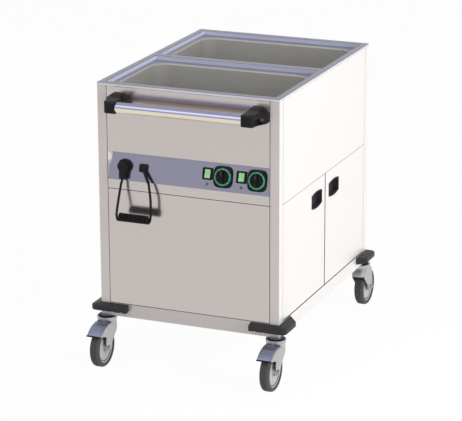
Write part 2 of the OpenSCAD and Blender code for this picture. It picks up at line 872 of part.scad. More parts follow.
// A round tube along a path, closed at both ends
module tube(path, dirs, d, sides) {
  last = (len(path) - 1) * sides;
  points = [for (i = [0:len(path) - 1]) each ring(path[i], dirs[i], d / 2, sides)];
  walls = [for (i = [0:sides:last - 1], k = [0:sides - 1]) let(a = i + k, b = i + (k + 1) % sides)
    each [[a, b, b + sides], [a, b + sides, a + sides]]];
  first_cap = [for (k = [1:sides - 2]) [0, k + 1, k]];
  last_cap = [for (k = [1:sides - 2]) [last, last + k, last + k + 1]];
  polyhedron(points, concat(walls, first_cap, last_cap));
}

// A smooth curve through a route: its points and its directions
function slope(route, d0, d1, i) = i == 0 ? d0 * norm(route[1] - route[0])
  : i == len(route) - 1 ? d1 * norm(route[i] - route[i - 1])
  : (route[i + 1] - route[i - 1]) / 2;
function curve_point(p, q, m, n, s) = (2 * s ^ 3 - 3 * s ^ 2 + 1) * p
  + (s ^ 3 - 2 * s ^ 2 + s) * m
  + (3 * s ^ 2 - 2 * s ^ 3) * q
  + (s ^ 3 - s ^ 2) * n;
function curve_dir(p, q, m, n, s) =
  (6 * s ^ 2 - 6 * s) * p + (3 * s ^ 2 - 4 * s + 1) * m + (6 * s - 6 * s ^ 2) * q + (3 * s ^ 2 - 2 * s) * n;
function spans(route) = [for (i = [0:len(route) - 2], k = [0:tail_steps - 1]) [i, k / tail_steps]];
function curve(route, d0, d1) = [
  each [for (c = spans(route)) let(i = c[0])
    curve_point(route[i], route[i + 1], slope(route, d0, d1, i), slope(route, d0, d1, i + 1), c[1])],
  route[len(route) - 1]
];
function curve_dirs(route, d0, d1) = [
  each [for (c = spans(route)) let(i = c[0])
    unit(curve_dir(route[i], route[i + 1], slope(route, d0, d1, i), slope(route, d0, d1, i + 1), c[1]))],
  d1
];

module free_cord(route, d0, d1) {
  color(BLACK) tube(curve(route, d0, d1), curve_dirs(route, d0, d1), cord_d, tail_sides);
}

module cord_tail_plug() { free_cord(plug_route, neck_down, coil_dir(0)); }
module cord_tail_outlet() { free_cord(outlet_route, sleeve_dir, -coil_dir(coil_steps)); }
module cord_coil() { color(BLACK) tube(coil_path, coil_dirs, cord_d, coil_sides); }

// The curls' least gap and the cord's length, measured on their points
function sum(v, i = 0) = i < len(v) ? v[i] + sum(v, i + 1) : 0;
function run_length(path) = sum([for (i = [1:len(path) - 1]) norm(path[i] - path[i - 1])]);
near_curls = [for (i = [0:coil_steps], k = [coil_rings / 2:coil_rings * 3 / 2])
  if (i + k <= coil_steps) norm(coil_point(i + k) - coil_point(i))];
echo(least_gap = min(near_curls) - cord_d);
echo(cord_length = run_length(coil_path)
  + run_length(curve(plug_route, neck_down, coil_dir(0)))
  + run_length(curve(outlet_route, sleeve_dir, -coil_dir(coil_steps))));

// ---- doors ----

// The outline of a recessed grip: straight ends, arched top and bottom
module grip_outline(w, h) {
  arch_r = ((w / 2) ^ 2 + grip_rise ^ 2) / (2 * grip_rise);
  intersection() {
    square([w, h + 1], center = true);
    translate([0, h / 2 - arch_r]) circle(arch_r, $fn = 180);
    translate([0, arch_r - h / 2]) circle(arch_r, $fn = 180);
  }
}

// A recessed grip's solid, from its depth in the door to the door's face
module grip_prism(w, h, depth, over) {
  translate([0, grip_y, grip_z]) side_extrude(hx - depth, hx + over) grip_outline(w, h);
}

// A hollow door with solid blocks that take its hinge pins
module door(sy) {
  block_h = hinge_pin_l + 4;
  block_y = hinge_y - 8;
  x0 = hx - door_t;
  y0 = seam / 2;
  color(STEEL)
  to_side(1, sy) difference() {
    union() {
      difference() {
        box([x0, y0, door_z0], [hx, panel_y, door_z1]);
        box([x0 + sheet, y0 + sheet, door_z0 + sheet], [hx - sheet, panel_y - sheet, door_z1 - sheet]);
      }
      box([x0, block_y, door_z0], [hx, panel_y, door_z0 + block_h]);
      box([x0, block_y, door_z1 - block_h], [hx, panel_y, door_z1]);
    }
    grip_prism(grip_w, grip_h, 2 * sheet, 1);
    for (z = [door_z0 - 1, door_z1 - hinge_pin_l - 1])
      translate([hinge_x, hinge_y, z]) cylinder(d = hinge_pin_d + 2 * run_gap, h = hinge_pin_l + 2);
  }
}

module door_front() { door(-1); }
module door_rear() { door(1); }

// The cup that lines a grip
module door_grip(sy) {
  wall = 1.5;
  color(BLACK)
  to_side(1, sy) difference() {
    grip_prism(grip_w, grip_h, grip_depth, 0);
    grip_prism(grip_w - 2 * wall, grip_h - 2 * wall, grip_depth - wall, 1);
  }
}

module door_grip_front() { door_grip(-1); }
module door_grip_rear() { door_grip(1); }

// Pins that stand on the base and hang from the deck, with a collar under each door
module hinge_pins() {
  color(ZINC)
  for (sy = [-1, 1]) {
    translate([hinge_x, sy * hinge_y, base_top]) {
      cylinder(d = hinge_pin_d, h = door_gap + hinge_pin_l);
      cylinder(d = hinge_pin_d + 3, h = door_gap - move_gap);
    }
    translate([hinge_x, sy * hinge_y, door_z1 - hinge_pin_l])
      cylinder(d = hinge_pin_d, h = deck_z - door_z1 + hinge_pin_l);
  }
}

// ---- casters ----

// Places a caster that trails toward low y at one corner; rear casters are turned over in y
module at_caster(sx, sy) {
  translate([sx * caster_x, sy * caster_y, 0]) mirror(sy > 0 ? [0, 1, 0] : [0, 0, 0]) children();
}

// A cylinder across a caster, on a line through [y, z]
module cross_cylinder(y, z, d, x0, x1) {
  translate([x0, y, z]) rotate([0, 90, 0]) cylinder(d = d, h = x1 - x0);
}

module caster_heads() {
  nut_h = 7;
  nut_z = fork_low_z - move_gap - nut_h;
  color(ZINC)
  for (c = CORNERS) at_caster(c[0], c[1]) {
    translate([0, 0, fork_top_z + move_gap]) cylinder(d = head_d, h = base_z - fork_top_z - move_gap);
    translate([0, 0, nut_z]) cylinder(d = kingpin_d, h = base_z + plate_t - nut_z);
    translate([0, 0, nut_z]) cylinder(d = kingpin_d + 10, h = nut_h);
    translate([0, 0, base_z + plate_t]) cylinder(d = kingpin_d + 2, h = 3);
  }
}

// The outline of a fork's leg: round at the axle, wide under the head
module leg_outline() {
  axle_boss = 11;
  leg_top = fork_low_z + 1;
  translate([-trail, wheel_z]) circle(axle_boss);
  polygon([
    [fork_r - 11, leg_top], [fork_r + 2, leg_top - 19], [fork_r - 1, wheel_z + 39.5],
    [fork_r - 13, wheel_z + 19.5], [-trail + 30, wheel_z + 7.5], [-trail + 3, wheel_z - axle_boss],
    [-trail - axle_boss, wheel_z], [-trail - 18, wheel_z + 21.5], [-trail - 10, leg_top - 30],
    [-trail + 10, leg_top - 12], [11 - fork_r, leg_top]
  ]);
}

// The outline of the web that joins a fork's legs behind the wheel
module web_outline() {
  back = fork_r + 2;
  web_top = fork_low_z + 1;
  web_low = fork_low_z - 20;
  polygon([[back - 10, web_top], [back - 7, web_top], [back, web_low], [back - fork_t, web_low]]);
}

module fork(sx, sy) {
  cup_top = base_z - 5;
  color(ZINC)
  at_caster(sx, sy) difference() {
    union() {
      translate([0, 0, fork_low_z]) cylinder(d = fork_d, h = cup_top - fork_low_z);
      side_extrude(leg_in, leg_out) leg_outline();
      side_extrude(-leg_out, -leg_in) leg_outline();
      side_extrude(-leg_out, leg_out) web_outline();
    }
    translate([0, 0, fork_top_z]) cylinder(d = head_d + 1, h = cup_top);
    translate([0, 0, fork_low_z - 1]) cylinder(d = kingpin_d + 2 * run_gap, h = 20);
    cross_cylinder(-trail, wheel_z, axle_d, -leg_out - 1, leg_out + 1);
    if (sy < 0)
      cross_cylinder(-pedal_u, pedal_z, pedal_pin_d + 2 * run_gap, -leg_out - 1, leg_out + 1);
  }
}

// A bolt through the fork's legs, with a head and a nut
module axle(sx, sy) {
  head_t = 5;
  color(ZINC)
  at_caster(sx, sy) {
    cross_cylinder(-trail, wheel_z, axle_d, -leg_out - head_t, leg_out + head_t);
    cross_cylinder(-trail, wheel_z, 1.6 * axle_d, -leg_out - head_t, -leg_out);
    cross_cylinder(-trail, wheel_z, 1.6 * axle_d, leg_out, leg_out + head_t);
  }
}

// A hub with its web and rim
module hub(sx, sy) {
  boss = leg_in - move_gap;
  rim_r = wheel_d / 2 - tyre_t;
  rim_in = rim_r - 7;
  rim_w = tyre_w / 2 - 4;
  web = 5;
  color(ZINC)
  at_caster(sx, sy) translate([0, -trail, wheel_z]) rotate([0, 90, 0]) rotate_extrude() polygon([
    [axle_d / 2 + run_gap, -boss], [hub_d / 2, -boss], [hub_d / 2, -web], [rim_in, -web], [rim_in, -rim_w],
    [rim_r, -rim_w], [rim_r, rim_w], [rim_in, rim_w], [rim_in, web], [hub_d / 2, web], [hub_d / 2, boss],
    [axle_d / 2 + run_gap, boss]
  ]);
}

// A tyre with rounded edges
module tyre(sx, sy) {
  in_r = wheel_d / 2 - tyre_t;
  color(GREY_PLASTIC)
  at_caster(sx, sy) translate([0, -trail, wheel_z]) rotate([0, 90, 0]) rotate_extrude() intersection() {
    translate([in_r, -tyre_w / 2]) square([tyre_t, tyre_w]);
    union() {
      translate([in_r, -tyre_w / 2]) square([tyre_t - tyre_r, tyre_w]);
      translate([in_r, tyre_r - tyre_w / 2]) square([tyre_t, tyre_w - 2 * tyre_r]);
      for (s = [-1, 1])
        translate([wheel_d / 2 - tyre_r, s * (tyre_w / 2 - tyre_r)]) circle(tyre_r, $fn = 24);
    }
  }
}

// A disc round the wheel's middle, in the caster's y and z
module wheel_disc(r) {
  translate([-trail, wheel_z]) circle(r, $fn = 96);
}

// The flared lip at the lower end of the pedal's hood
module pedal_lip() {
  lip_u = -trail - sqrt((hood_r - hood_t) ^ 2 - (pedal_low_z - wheel_z) ^ 2);
  polygon([
    [lip_u, pedal_low_z], [lip_u - 6.2, pedal_low_z - 2.8], [lip_u - 7, pedal_low_z - 1],
    [lip_u - 1.9, pedal_low_z + 1.2]
  ]);
}

// The outline of the pedal's side walls, before the hood's curve trims it
module pedal_side(reach, hood_start) {
  polygon([
    [7 - pedal_u, pedal_z - 6], [7 - pedal_u, pedal_z + 5], [-pedal_u - 2, pedal_z + 7],
    [-hood_start, pedal_z + 19], [-reach, pedal_z + 19], [-reach, pedal_low_z],
    [-trail - 44, pedal_low_z - 4], [-trail - 20, pedal_low_z + 2], [-pedal_u - 12, pedal_z - 8]
  ]);
}

// A brake pedal: a hood in front of the wheel with side walls, a flared lip, a pad and a pivot pin
module brake_pedal(sx) {
  wall_in = leg_out + move_gap;
  wall_out = wall_in + hood_t;
  reach = trail + hood_r;
  hood_start = fork_r + 2.5;
  pad_r = wheel_d / 2 + 7.3;
  pad_x = tyre_w / 2 - 2;
  pad_sector = [[0, 0], [-0.9 * hood_r, 1.1 * hood_r], [-0.5 * hood_r, 1.1 * hood_r]];
  color(ZINC)
  at_caster(sx, -1) {
    side_extrude(-wall_out, wall_out) {
      intersection() {
        difference() {
          wheel_disc(hood_r);
          wheel_disc(hood_r - hood_t);
        }
        translate([-reach, pedal_low_z]) square([reach - hood_start, hood_r]);
      }
      pedal_lip();
    }
    for (x0 = [-wall_out, wall_in]) side_extrude(x0, x0 + hood_t) intersection() {
      wheel_disc(hood_r);
      pedal_side(reach, hood_start);
    }
    cross_cylinder(-pedal_u, pedal_z, pedal_pin_d, -wall_out, wall_out);
  }
  color(BLACK)
  at_caster(sx, -1) side_extrude(-pad_x, pad_x) intersection() {
    difference() {
      wheel_disc(hood_r - hood_t);
      wheel_disc(pad_r);
    }
    translate([-trail, wheel_z]) polygon(pad_sector);
  }
}

module fork_front_left() { fork(-1, -1); }
module fork_front_right() { fork(1, -1); }
module fork_rear_left() { fork(-1, 1); }
module fork_rear_right() { fork(1, 1); }
module axle_front_left() { axle(-1, -1); }
module axle_front_right() { axle(1, -1); }
module axle_rear_left() { axle(-1, 1); }
module axle_rear_right() { axle(1, 1); }
module hub_front_left() { hub(-1, -1); }
module hub_front_right() { hub(1, -1); }
module hub_rear_left() { hub(-1, 1); }
module hub_rear_right() { hub(1, 1); }
module tyre_front_left() { tyre(-1, -1); }
module tyre_front_right() { tyre(1, -1); }
module tyre_rear_left() { tyre(-1, 1); }
module tyre_rear_right() { tyre(1, 1); }
module brake_front_left() { brake_pedal(-1); }
module brake_front_right() { brake_pedal(1); }

base_tray();
corner_posts();
side_panel_left();
side_panel_right();
rear_panel();
front_panel_upper();
front_panel_lower();
control_panel();
cabinet_ceiling();
door_jamb();
top_plate();
well_front();
well_rear();
heating_mats();
handle_tube();
handle_bracket_left();
handle_bracket_right();
handle_screws();
bumper_front_left();
bumper_front_right();
bumper_rear_left();
bumper_rear_right();
thermostat_left();
thermostat_right();
knob_left();
knob_right();
switch_left();
switch_right();
rocker_left();
rocker_right();
parking_socket();
plug();
cord_tail_plug();
cord_coil();
cord_tail_outlet();
cord_outlet();
door_front();
door_rear();
door_grip_front();
door_grip_rear();
hinge_pins();
caster_heads();
fork_front_left();
fork_front_right();
fork_rear_left();
fork_rear_right();
axle_front_left();
axle_front_right();
axle_rear_left();
axle_rear_right();
hub_front_left();
hub_front_right();
hub_rear_left();
hub_rear_right();
tyre_front_left();
tyre_front_right();
tyre_rear_left();
tyre_rear_right();
brake_front_left();
brake_front_right();
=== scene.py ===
import math

import bmesh
import bpy
from bpy.props import FloatProperty, FloatVectorProperty, IntProperty, PointerProperty
from mathutils import Matrix, Vector


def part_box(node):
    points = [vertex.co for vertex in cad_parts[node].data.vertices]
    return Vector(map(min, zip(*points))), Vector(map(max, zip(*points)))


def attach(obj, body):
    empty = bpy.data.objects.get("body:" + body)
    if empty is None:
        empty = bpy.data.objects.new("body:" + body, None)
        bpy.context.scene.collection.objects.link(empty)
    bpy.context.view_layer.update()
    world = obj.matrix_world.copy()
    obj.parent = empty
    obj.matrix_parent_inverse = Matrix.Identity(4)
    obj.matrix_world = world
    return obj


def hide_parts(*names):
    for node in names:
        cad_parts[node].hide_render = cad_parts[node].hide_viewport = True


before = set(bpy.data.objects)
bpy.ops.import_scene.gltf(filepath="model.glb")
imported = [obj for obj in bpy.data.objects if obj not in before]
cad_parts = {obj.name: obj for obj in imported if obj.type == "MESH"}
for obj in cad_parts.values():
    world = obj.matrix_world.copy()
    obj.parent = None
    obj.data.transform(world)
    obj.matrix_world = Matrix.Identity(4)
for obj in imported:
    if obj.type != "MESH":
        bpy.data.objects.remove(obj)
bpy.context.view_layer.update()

bl_info = {
    "name": "Heated Serving Trolley",
    "version": (1, 0, 0),
    "blender": (4, 5, 0),
    "location": "3D View > Sidebar > Trolley",
    "description": "Dresses the packed parts of a heated serving trolley with wells, controls and casters",
    "category": "Object",
}

# The frame is in metres. The sizes in this file are in millimetres.
MM = 0.001

CORNERS = {
    "front_left": (-1, -1),
    "front_right": (1, -1),
    "rear_left": (-1, 1),
    "rear_right": (1, 1),
}
SIDES = {"left": -1, "right": 1}


def box_mm(node):
    """A CAD node's lowest and highest corners, in millimetres."""
    low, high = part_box(node)
    return low / MM, high / MM


POSTS_HIGH = box_mm("corner_posts")[1]
HALF_W, HALF_D = POSTS_HIGH.x, POSTS_HIGH.y
TOP_LOW, TOP_HIGH = box_mm("top_plate")
WELL_LOW, WELL_HIGH = box_mm("well_front")
SHEET = 1.5

# The gap between two sheets, the posts' faces, the sheets' lower edge and the seam over the doors.
SEAM = 2.0
POST_W, POST_D = 29.0, 30.0
LOWER_Z = 203.0
SPLIT_Z = 570.5
PANEL_X, PANEL_Y = HALF_W - POST_W - SEAM, HALF_D - POST_D - SEAM

# The recessed control panel: its edges, its depth, its end cheeks and the row of controls on its slope.
FASCIA_Z, FASCIA_TOP_Z = 600.0, 688.0
RECESS = 19.0
CHEEK_W = 12.0
FASCIA_TILT = math.atan2(RECESS, FASCIA_TOP_Z - FASCIA_Z)
CONTROL_T = 43.5
THERMOSTAT_X = (112.0, 221.4)
SWITCH_X = (61.7, 171.1)
SWITCH_T = 48.4
PLUG_X = -210.0
OUTLET_X = -148.0


# ---- colours and materials ----


def linear(hex_text):
    """An sRGB hex colour as linear red, green, blue and alpha."""
    parts = [int(hex_text[i : i + 2], 16) / 255 for i in (1, 3, 5)]
    return tuple(c / 12.92 if c <= 0.04045 else ((c + 0.055) / 1.055) ** 2.4 for c in parts) + (1.0,)


def per_metre(size_mm):
    """A texture's scale, for a pattern whose repeat is this many millimetres."""
    return 1.0 / (size_mm * MM)


def colour_of(given):
    """A hex text's linear colour. A colour that is linear already stays."""
    return linear(given) if isinstance(given, str) else tuple(given)


def add_node(tree, kind, links=(), ramp=(), **settings):
    """Adds a node, sets its settings, sockets and ramp, and links (output, input name) pairs to it."""
    made = tree.nodes.new(kind)
    for stop, given in enumerate(ramp):
        made.color_ramp.elements[stop].color = colour_of(given)
    for key, value in settings.items():
        socket = made.inputs.get(key.replace("_", " "))
        if socket is not None:
            socket.default_value = value
        else:
            setattr(made, key, value)
    for output, name in links:
        tree.links.new(output, made.inputs[name])
    return made


def new_material(name):
    """A material with an empty node tree but for its output and a surface shader."""
    material = bpy.data.materials.new(name)
    material.use_nodes = True
    tree = material.node_tree
    tree.nodes.clear()
    shader = add_node(tree, "ShaderNodeBsdfPrincipled")
    add_node(tree, "ShaderNodeOutputMaterial", [(shader.outputs[0], "Surface")])
    return material, tree, shader


def painted_light_by_facing(tree, colour, other, axis, start, full, both_ways=False):
    """The colour, with another where the surface looks along an axis, or with both_ways also against it. It
    paints light and reflection into a colour by the way a surface faces.
    """
    coords = add_node(tree, "ShaderNodeTexCoord")
    axes = add_node(tree, "ShaderNodeSeparateXYZ", [(coords.outputs["Normal"], "Vector")])
    along = axes.outputs[axis]
    if both_ways:
        along = add_node(tree, "ShaderNodeMath", [(along, 0)], operation="ABSOLUTE").outputs[0]
    share = add_node(tree, "ShaderNodeMapRange", [(along, "Value")], From_Min=start, From_Max=full)
    mix = add_node(tree, "ShaderNodeMix", [(share.outputs[0], 0), (colour, 6)], data_type="RGBA")
    mix.inputs[7].default_value = colour_of(other)
    return mix.outputs[2]


def satin_steel(name, dark, light, along, above=None, roughness=0.3, metallic=0.5, grain_mm=5.0, painted_light_beside=None):
    """Grained stainless sheet: polished on a belt, so fine lines run one way and blur what it mirrors.
    The lines are a few tenths of a millimetre apart, and are drawn coarser so that they show.
    The sheet's colour holds painted light: a duller, bluer painted reflection of the sky where it looks up,
    and paler painted light at the cabinet's sides."""
    stretch, cloud_mm, depth_mm, uneven = 0.02, 260.0, 0.1, 0.03
    material, tree, shader = new_material(name)
    place = add_node(tree, "ShaderNodeTexCoord").outputs["Object"]
    scale = [stretch if axis == along else 1.0 for axis in "XYZ"]
    drawn = add_node(tree, "ShaderNodeMapping", [(place, "Vector")], Scale=scale).outputs[0]
    grain = add_node(tree, "ShaderNodeTexNoise", [(drawn, "Vector")], Scale=per_metre(grain_mm), Detail=4.0)
    cloud = add_node(tree, "ShaderNodeTexNoise", [(place, "Vector")], Scale=per_metre(cloud_mm), Detail=2.0)
    lines = grain.outputs["Fac"]
    both = add_node(tree, "ShaderNodeMath", [(lines, 0), (cloud.outputs["Fac"], 1)], operation="ADD")
    mean = add_node(tree, "ShaderNodeMapRange", [(both.outputs[0], "Value")], From_Max=2.0)
    tint = add_node(tree, "ShaderNodeValToRGB", [(mean.outputs[0], "Fac")], ramp=(dark, light))
    colour = tint.outputs["Color"]
    # Painted light: paler where the surface faces the sides, and a painted reflection of the sky where it
    # faces up.
    if painted_light_beside:
        colour = painted_light_by_facing(tree, colour, painted_light_beside, "X", 0.6, 0.9, both_ways=True)
    if above:
        colour = painted_light_by_facing(tree, colour, above, "Z", 0.05, 0.18)
    low, high = roughness - uneven, roughness + uneven
    rough = add_node(tree, "ShaderNodeMapRange", [(lines, "Value")], To_Min=low, To_Max=high)
    bump = add_node(tree, "ShaderNodeBump", [(lines, "Height")], Strength=0.08, Distance=depth_mm * MM)
    tree.links.new(colour, shader.inputs["Base Color"])
    tree.links.new(rough.outputs[0], shader.inputs["Roughness"])
    tree.links.new(bump.outputs[0], shader.inputs["Normal"])
    shader.inputs["Metallic"].default_value = metallic
    return material


def moulded_plastic(name, dark, light, roughness=0.5, grain_mm=1.2, bump_mm=0.12, coat=0.0, gloss=0.5):
    """Moulded plastic or rubber: eroded mould faces leave a fine, even grain and a broad soft highlight."""
    blotch_mm, uneven = 28.0, 0.06
    material, tree, shader = new_material(name)
    place = add_node(tree, "ShaderNodeTexCoord").outputs["Object"]
    grain = add_node(tree, "ShaderNodeTexNoise", [(place, "Vector")], Scale=per_metre(grain_mm), Detail=3.0)
    blotch = add_node(tree, "ShaderNodeTexNoise", [(place, "Vector")], Scale=per_metre(blotch_mm), Detail=2.0)
    tint = add_node(tree, "ShaderNodeValToRGB", [(blotch.outputs["Fac"], "Fac")], ramp=(dark, light))
    height, low, high = grain.outputs["Fac"], roughness - uneven, roughness + uneven
    rough = add_node(tree, "ShaderNodeMapRange", [(height, "Value")], To_Min=low, To_Max=high)
    bump = add_node(tree, "ShaderNodeBump", [(height, "Height")], Strength=0.35, Distance=bump_mm * MM)
    tree.links.new(tint.outputs["Color"], shader.inputs["Base Color"])
    tree.links.new(rough.outputs[0], shader.inputs["Roughness"])
    tree.links.new(bump.outputs[0], shader.inputs["Normal"])
    shader.inputs["IOR"].default_value = 1.5
    shader.inputs["Specular IOR Level"].default_value = gloss
    shader.inputs["Coat Weight"].default_value = coat
    return material


def plated_steel(name, dark, light, above, roughness):
    """Zinc-plated pressed steel: the plating's faint spangle breaks up a fairly bright reflection. The colour
    above, on faces that look up, is a painted reflection of the sky.
    """
    spangle_mm, haze_mm = 7.0, 12.0
    material, tree, shader = new_material(name)
    place = add_node(tree, "ShaderNodeTexCoord").outputs["Object"]
    spangle = add_node(tree, "ShaderNodeTexVoronoi", [(place, "Vector")], Scale=per_metre(spangle_mm))
    haze = add_node(tree, "ShaderNodeTexNoise", [(place, "Vector")], Scale=per_metre(haze_mm), Detail=3.0)
    tint = add_node(tree, "ShaderNodeValToRGB", [(haze.outputs["Fac"], "Fac")], ramp=(dark, light))
    # Painted reflection: the colour above tints the faces that look up.
    colour = painted_light_by_facing(tree, tint.outputs["Color"], above, "Z", 0.35, 0.65)
    apart, low, high = spangle.outputs["Distance"], roughness - 0.05, roughness + 0.1
    rough = add_node(tree, "ShaderNodeMapRange", [(apart, "Value")], To_Min=low, To_Max=high)
    tree.links.new(colour, shader.inputs["Base Color"])
    tree.links.new(rough.outputs[0], shader.inputs["Roughness"])
    shader.inputs["Metallic"].default_value = 0.75
    return material


def make_materials():
    """All materials, by the finish that they stand for."""
    colours = bpy.context.scene.trolley_colours
    steel = (*colours.steel, 1.0)
    shade = (*(c * 0.94 for c in colours.steel), 1.0)
    black = (*colours.black, 1.0)
    black_light = (*(c * 1.5 for c in colours.black), 1.0)
    # The first colour is a painted reflection of a cool sky on steel that looks up; the second is painted
    # light on the cabinet's brightly lit sides.
    painted_sky_reflection, pale = "#8C8C9E", "#DCD8D6"
    # Name, dark and light colour, way of the grain, colour above (a painted reflection), roughness, metallic,
    # size of the grain in millimetres and colour beside (painted light).
    steels = {
        "sheet": ("stainless_sheet_grained_upright", shade, steel, "Z", painted_sky_reflection, 0.3, 0.45, 5.0, pale),
        "sheet_across": (
            "stainless_sheet_grained_across", "#B3AEAB", "#BAB5B2", "X", painted_sky_reflection, 0.3, 0.45, 5.0, pale
        ),
        # The cheeks' pale, dull steel is painted light on cheeks that stand in shade.
        "cheek": ("stainless_cheek_blasted", "#DAD9D3", "#E2E1DB", "X", None, 0.5, 0.1),
        "front": ("stainless_front_grained_fine", shade, steel, "X", painted_sky_reflection, 0.18, 0.95),
        # The rim's colour above is a painted reflection of the sky on its flat top.
        "rim": ("stainless_rim_grained", "#CBCACF", "#D4D3D8", "X", "#727384", 0.28),
        # The frame's lavender and its colour above are painted reflections of the sky on the upstands and
        # ledges.
        "frame": ("stainless_frame_grained", "#C2C5DE", "#CCCFE6", "X", "#808290", 0.35, 0.25),
        # The wells' steel is darker than the cabinet's: painted shade in the deep tubs.
        "well": ("stainless_well_drawn", "#A4A29E", "#AEACA8", "X", None, 0.55, 0.6, 9.0),
        # The tube's cream is a painted reflection of the floor below it, and its colour above a painted
        # reflection of the sky.
        "tube": ("stainless_tube_polished", "#DED4C1", "#E5DBC8", "X", "#8F8FA8", 0.28, 0.8, 4.0),
    }
    # Name, dark and light colour, roughness, grain and bump in millimetres, clear coat and gloss.
    plastics = {
        "black": ("abs_black_moulded", black, black_light, 0.42, 1.2, 0.1, 0.0, 0.15),
        "bumper": ("polyethylene_bumper_moulded", "#1E1E22", "#26262A", 0.5, 2.0, 0.2, 0.0, 0.3),
        "knob": ("phenolic_knob_moulded", "#0A0A0B", "#111113", 0.35, 1.0, 0.04, 0.0, 0.15),
        # The seam beads stand in for the gaps' shade: dark painted shade in the front seams, and lighter
        # beads, painted light, in the side seams.
        "painted_seam_fill": ("polyurethane_sealant_beaded", "#303036", "#3A3A42", 0.7, 2.0, 0.05, 0.0, 0.2),
        "sealant_pale": ("polyurethane_sealant_pale", "#A8A5A3", "#B2AFAD", 0.7, 2.0, 0.05, 0.0, 0.2),
        "rubber": ("rubber_seal_extruded", "#121213", "#1A1A1C", 0.6, 1.5, 0.05, 0.0, 0.15),
        "ring": ("polycarbonate_ring_printed", "#1F8462", "#2F9A78", 0.35, 1.0, 0.03, 0.2),
        "rocker": ("polycarbonate_rocker_moulded", "#7CC680", "#98DB98", 0.3, 1.0, 0.02, 0.3),
        "cord": ("rubber_cord_extruded", "#0D0D0E", "#141415", 0.48, 1.5, 0.06, 0.0, 0.15),
        "tyre": ("rubber_tyre_vulcanised", "#393937", "#454543", 0.72, 1.6, 0.25),
        "hub": ("polypropylene_hub_moulded", "#979796", "#A4A4A2", 0.5, 2.0, 0.08, 0.0, 0.3),
        "mat": ("silicone_heating_mat_moulded", "#A64B26", "#BC5B30", 0.6, 3.0, 0.3),
        "print": ("ink_grey_printed", "#3E4254", "#484C5E", 0.5, 1.0, 0.01),
        "mark": ("enamel_white_printed", "#D8D8D4", "#E6E6E2", 0.5, 1.0, 0.01),
    }
    made = {finish: satin_steel(*row) for finish, row in steels.items()}
    made.update({finish: moulded_plastic(*row) for finish, row in plastics.items()})
    # The zinc's third colour is a painted reflection of the sky on faces that look up.
    made["zinc"] = plated_steel("steel_pressed_zinc_plated", "#A9A9A9", "#B6B6B5", "#7B7F97", 0.38)
    return made


MATERIALS = {}


# ---- meshes ----


def moved(x, y, z):
    """The way to a place given in millimetres."""
    return Matrix.Translation(Vector((x, y, z)) * MM)


def turned(axis):
    """A quarter turn about an axis."""
    return Matrix.Rotation(math.pi / 2, 4, axis)


def as_mesh(name, points, faces, matrix=None):
    """A mesh from points in millimetres, with its faces turned outward."""
    mesh = bpy.data.meshes.new(name)
    mesh.from_pydata([Vector(p) * MM for p in points], [], faces)
    work = bmesh.new()
    work.from_mesh(mesh)
    bmesh.ops.remove_doubles(work, verts=work.verts, dist=1e-6)
    bmesh.ops.recalc_face_normals(work, faces=work.faces)
    work.to_mesh(mesh)
    work.free()
    if matrix is not None:
        mesh.transform(matrix)
    return mesh


def loft(name, rings, caps=(True, True), closed=True, matrix=None):
    """A skin over rings of points that all have the same count."""
    count = len(rings[0])
    points = [p for ring in rings for p in ring]
    last = count if closed else count - 1
    faces = []
    for i in range(len(rings) - 1):
        for k in range(last):
            a, b = i * count + k, i * count + (k + 1) % count
            faces.append((a, b, b + count, a + count))
    if caps[0]:
        faces.append(tuple(range(count)))
    if caps[1]:
        faces.append(tuple(range(len(points) - count, len(points))))
    return as_mesh(name, points, faces, matrix)


def lathe(name, profile, matrix=None, sides=72, closed=False):
    """A round piece about local z, from (radius, height) points; a closed profile makes a ring."""
    rings = []
    for radius, height in profile + (profile[:1] if closed else []):
        rings.append([
            (radius * math.cos(math.tau * k / sides), radius * math.sin(math.tau * k / sides), height)
            for k in range(sides)
        ])
    ends = (not closed and profile[0][0] > 0, not closed and profile[-1][0] > 0)
    return loft(name, rings, ends, True, matrix)


def stack(levels):
    """Rings for a skin, from pairs of an outline in x and y and its height."""
    return [[(x, y, height) for x, y in outline] for outline, height in levels]


def extrude(name, outline, low, high, matrix=None):
    """A prism on local z from an outline in x and y."""
    return loft(name, stack([(outline, low), (outline, high)]), matrix=matrix)


def rounded(width, length, radius, steps=8, centre=(0.0, 0.0)):
    """The outline of a rectangle with round corners."""
    points = []
    for turn, (sx, sy) in enumerate([(1, 1), (-1, 1), (-1, -1), (1, -1)]):
        for k in range(steps + 1):
            angle = math.radians(90 * turn + 90 * k / steps)
            points.append((
                centre[0] + sx * (width / 2 - radius) + radius * math.cos(angle),
                centre[1] + sy * (length / 2 - radius) + radius * math.sin(angle),
            ))
    return points


def filleted(points, radii, steps=5):
    """An outline's points with each corner rounded; radii is one radius or one for each corner."""
    if not isinstance(radii, (list, tuple)):
        radii = [radii] * len(points)
    outline = []
    for i, (corner, radius) in enumerate(zip(points, radii)):
        here = Vector(corner)
        before = Vector(points[i - 1]) - here
        after = Vector(points[(i + 1) % len(points)]) - here
        half = before.angle(after) / 2
        reach = min(radius / math.tan(half), before.length * 0.48, after.length * 0.48)
        start = here + before.normalized() * reach
        end = here + after.normalized() * reach
        for k in range(steps + 1):
            t = k / steps
            outline.append(tuple(start * (1 - t) ** 2 + here * (2 * t * (1 - t)) + end * t**2))
    return outline


def arc(centre, radius, start, end, steps):
    """Points on an arc, with its angles in degrees."""
    return [
        (
            centre[0] + radius * math.cos(math.radians(start + (end - start) * k / steps)),
            centre[1] + radius * math.sin(math.radians(start + (end - start) * k / steps)),
        )
        for k in range(steps + 1)
    ]


def join_meshes(name, meshes):
    """Several meshes as one."""
    work = bmesh.new()
    for mesh in meshes:
        work.from_mesh(mesh)
    joined = bpy.data.meshes.new(name)
    work.to_mesh(joined)
    work.free()
    return joined


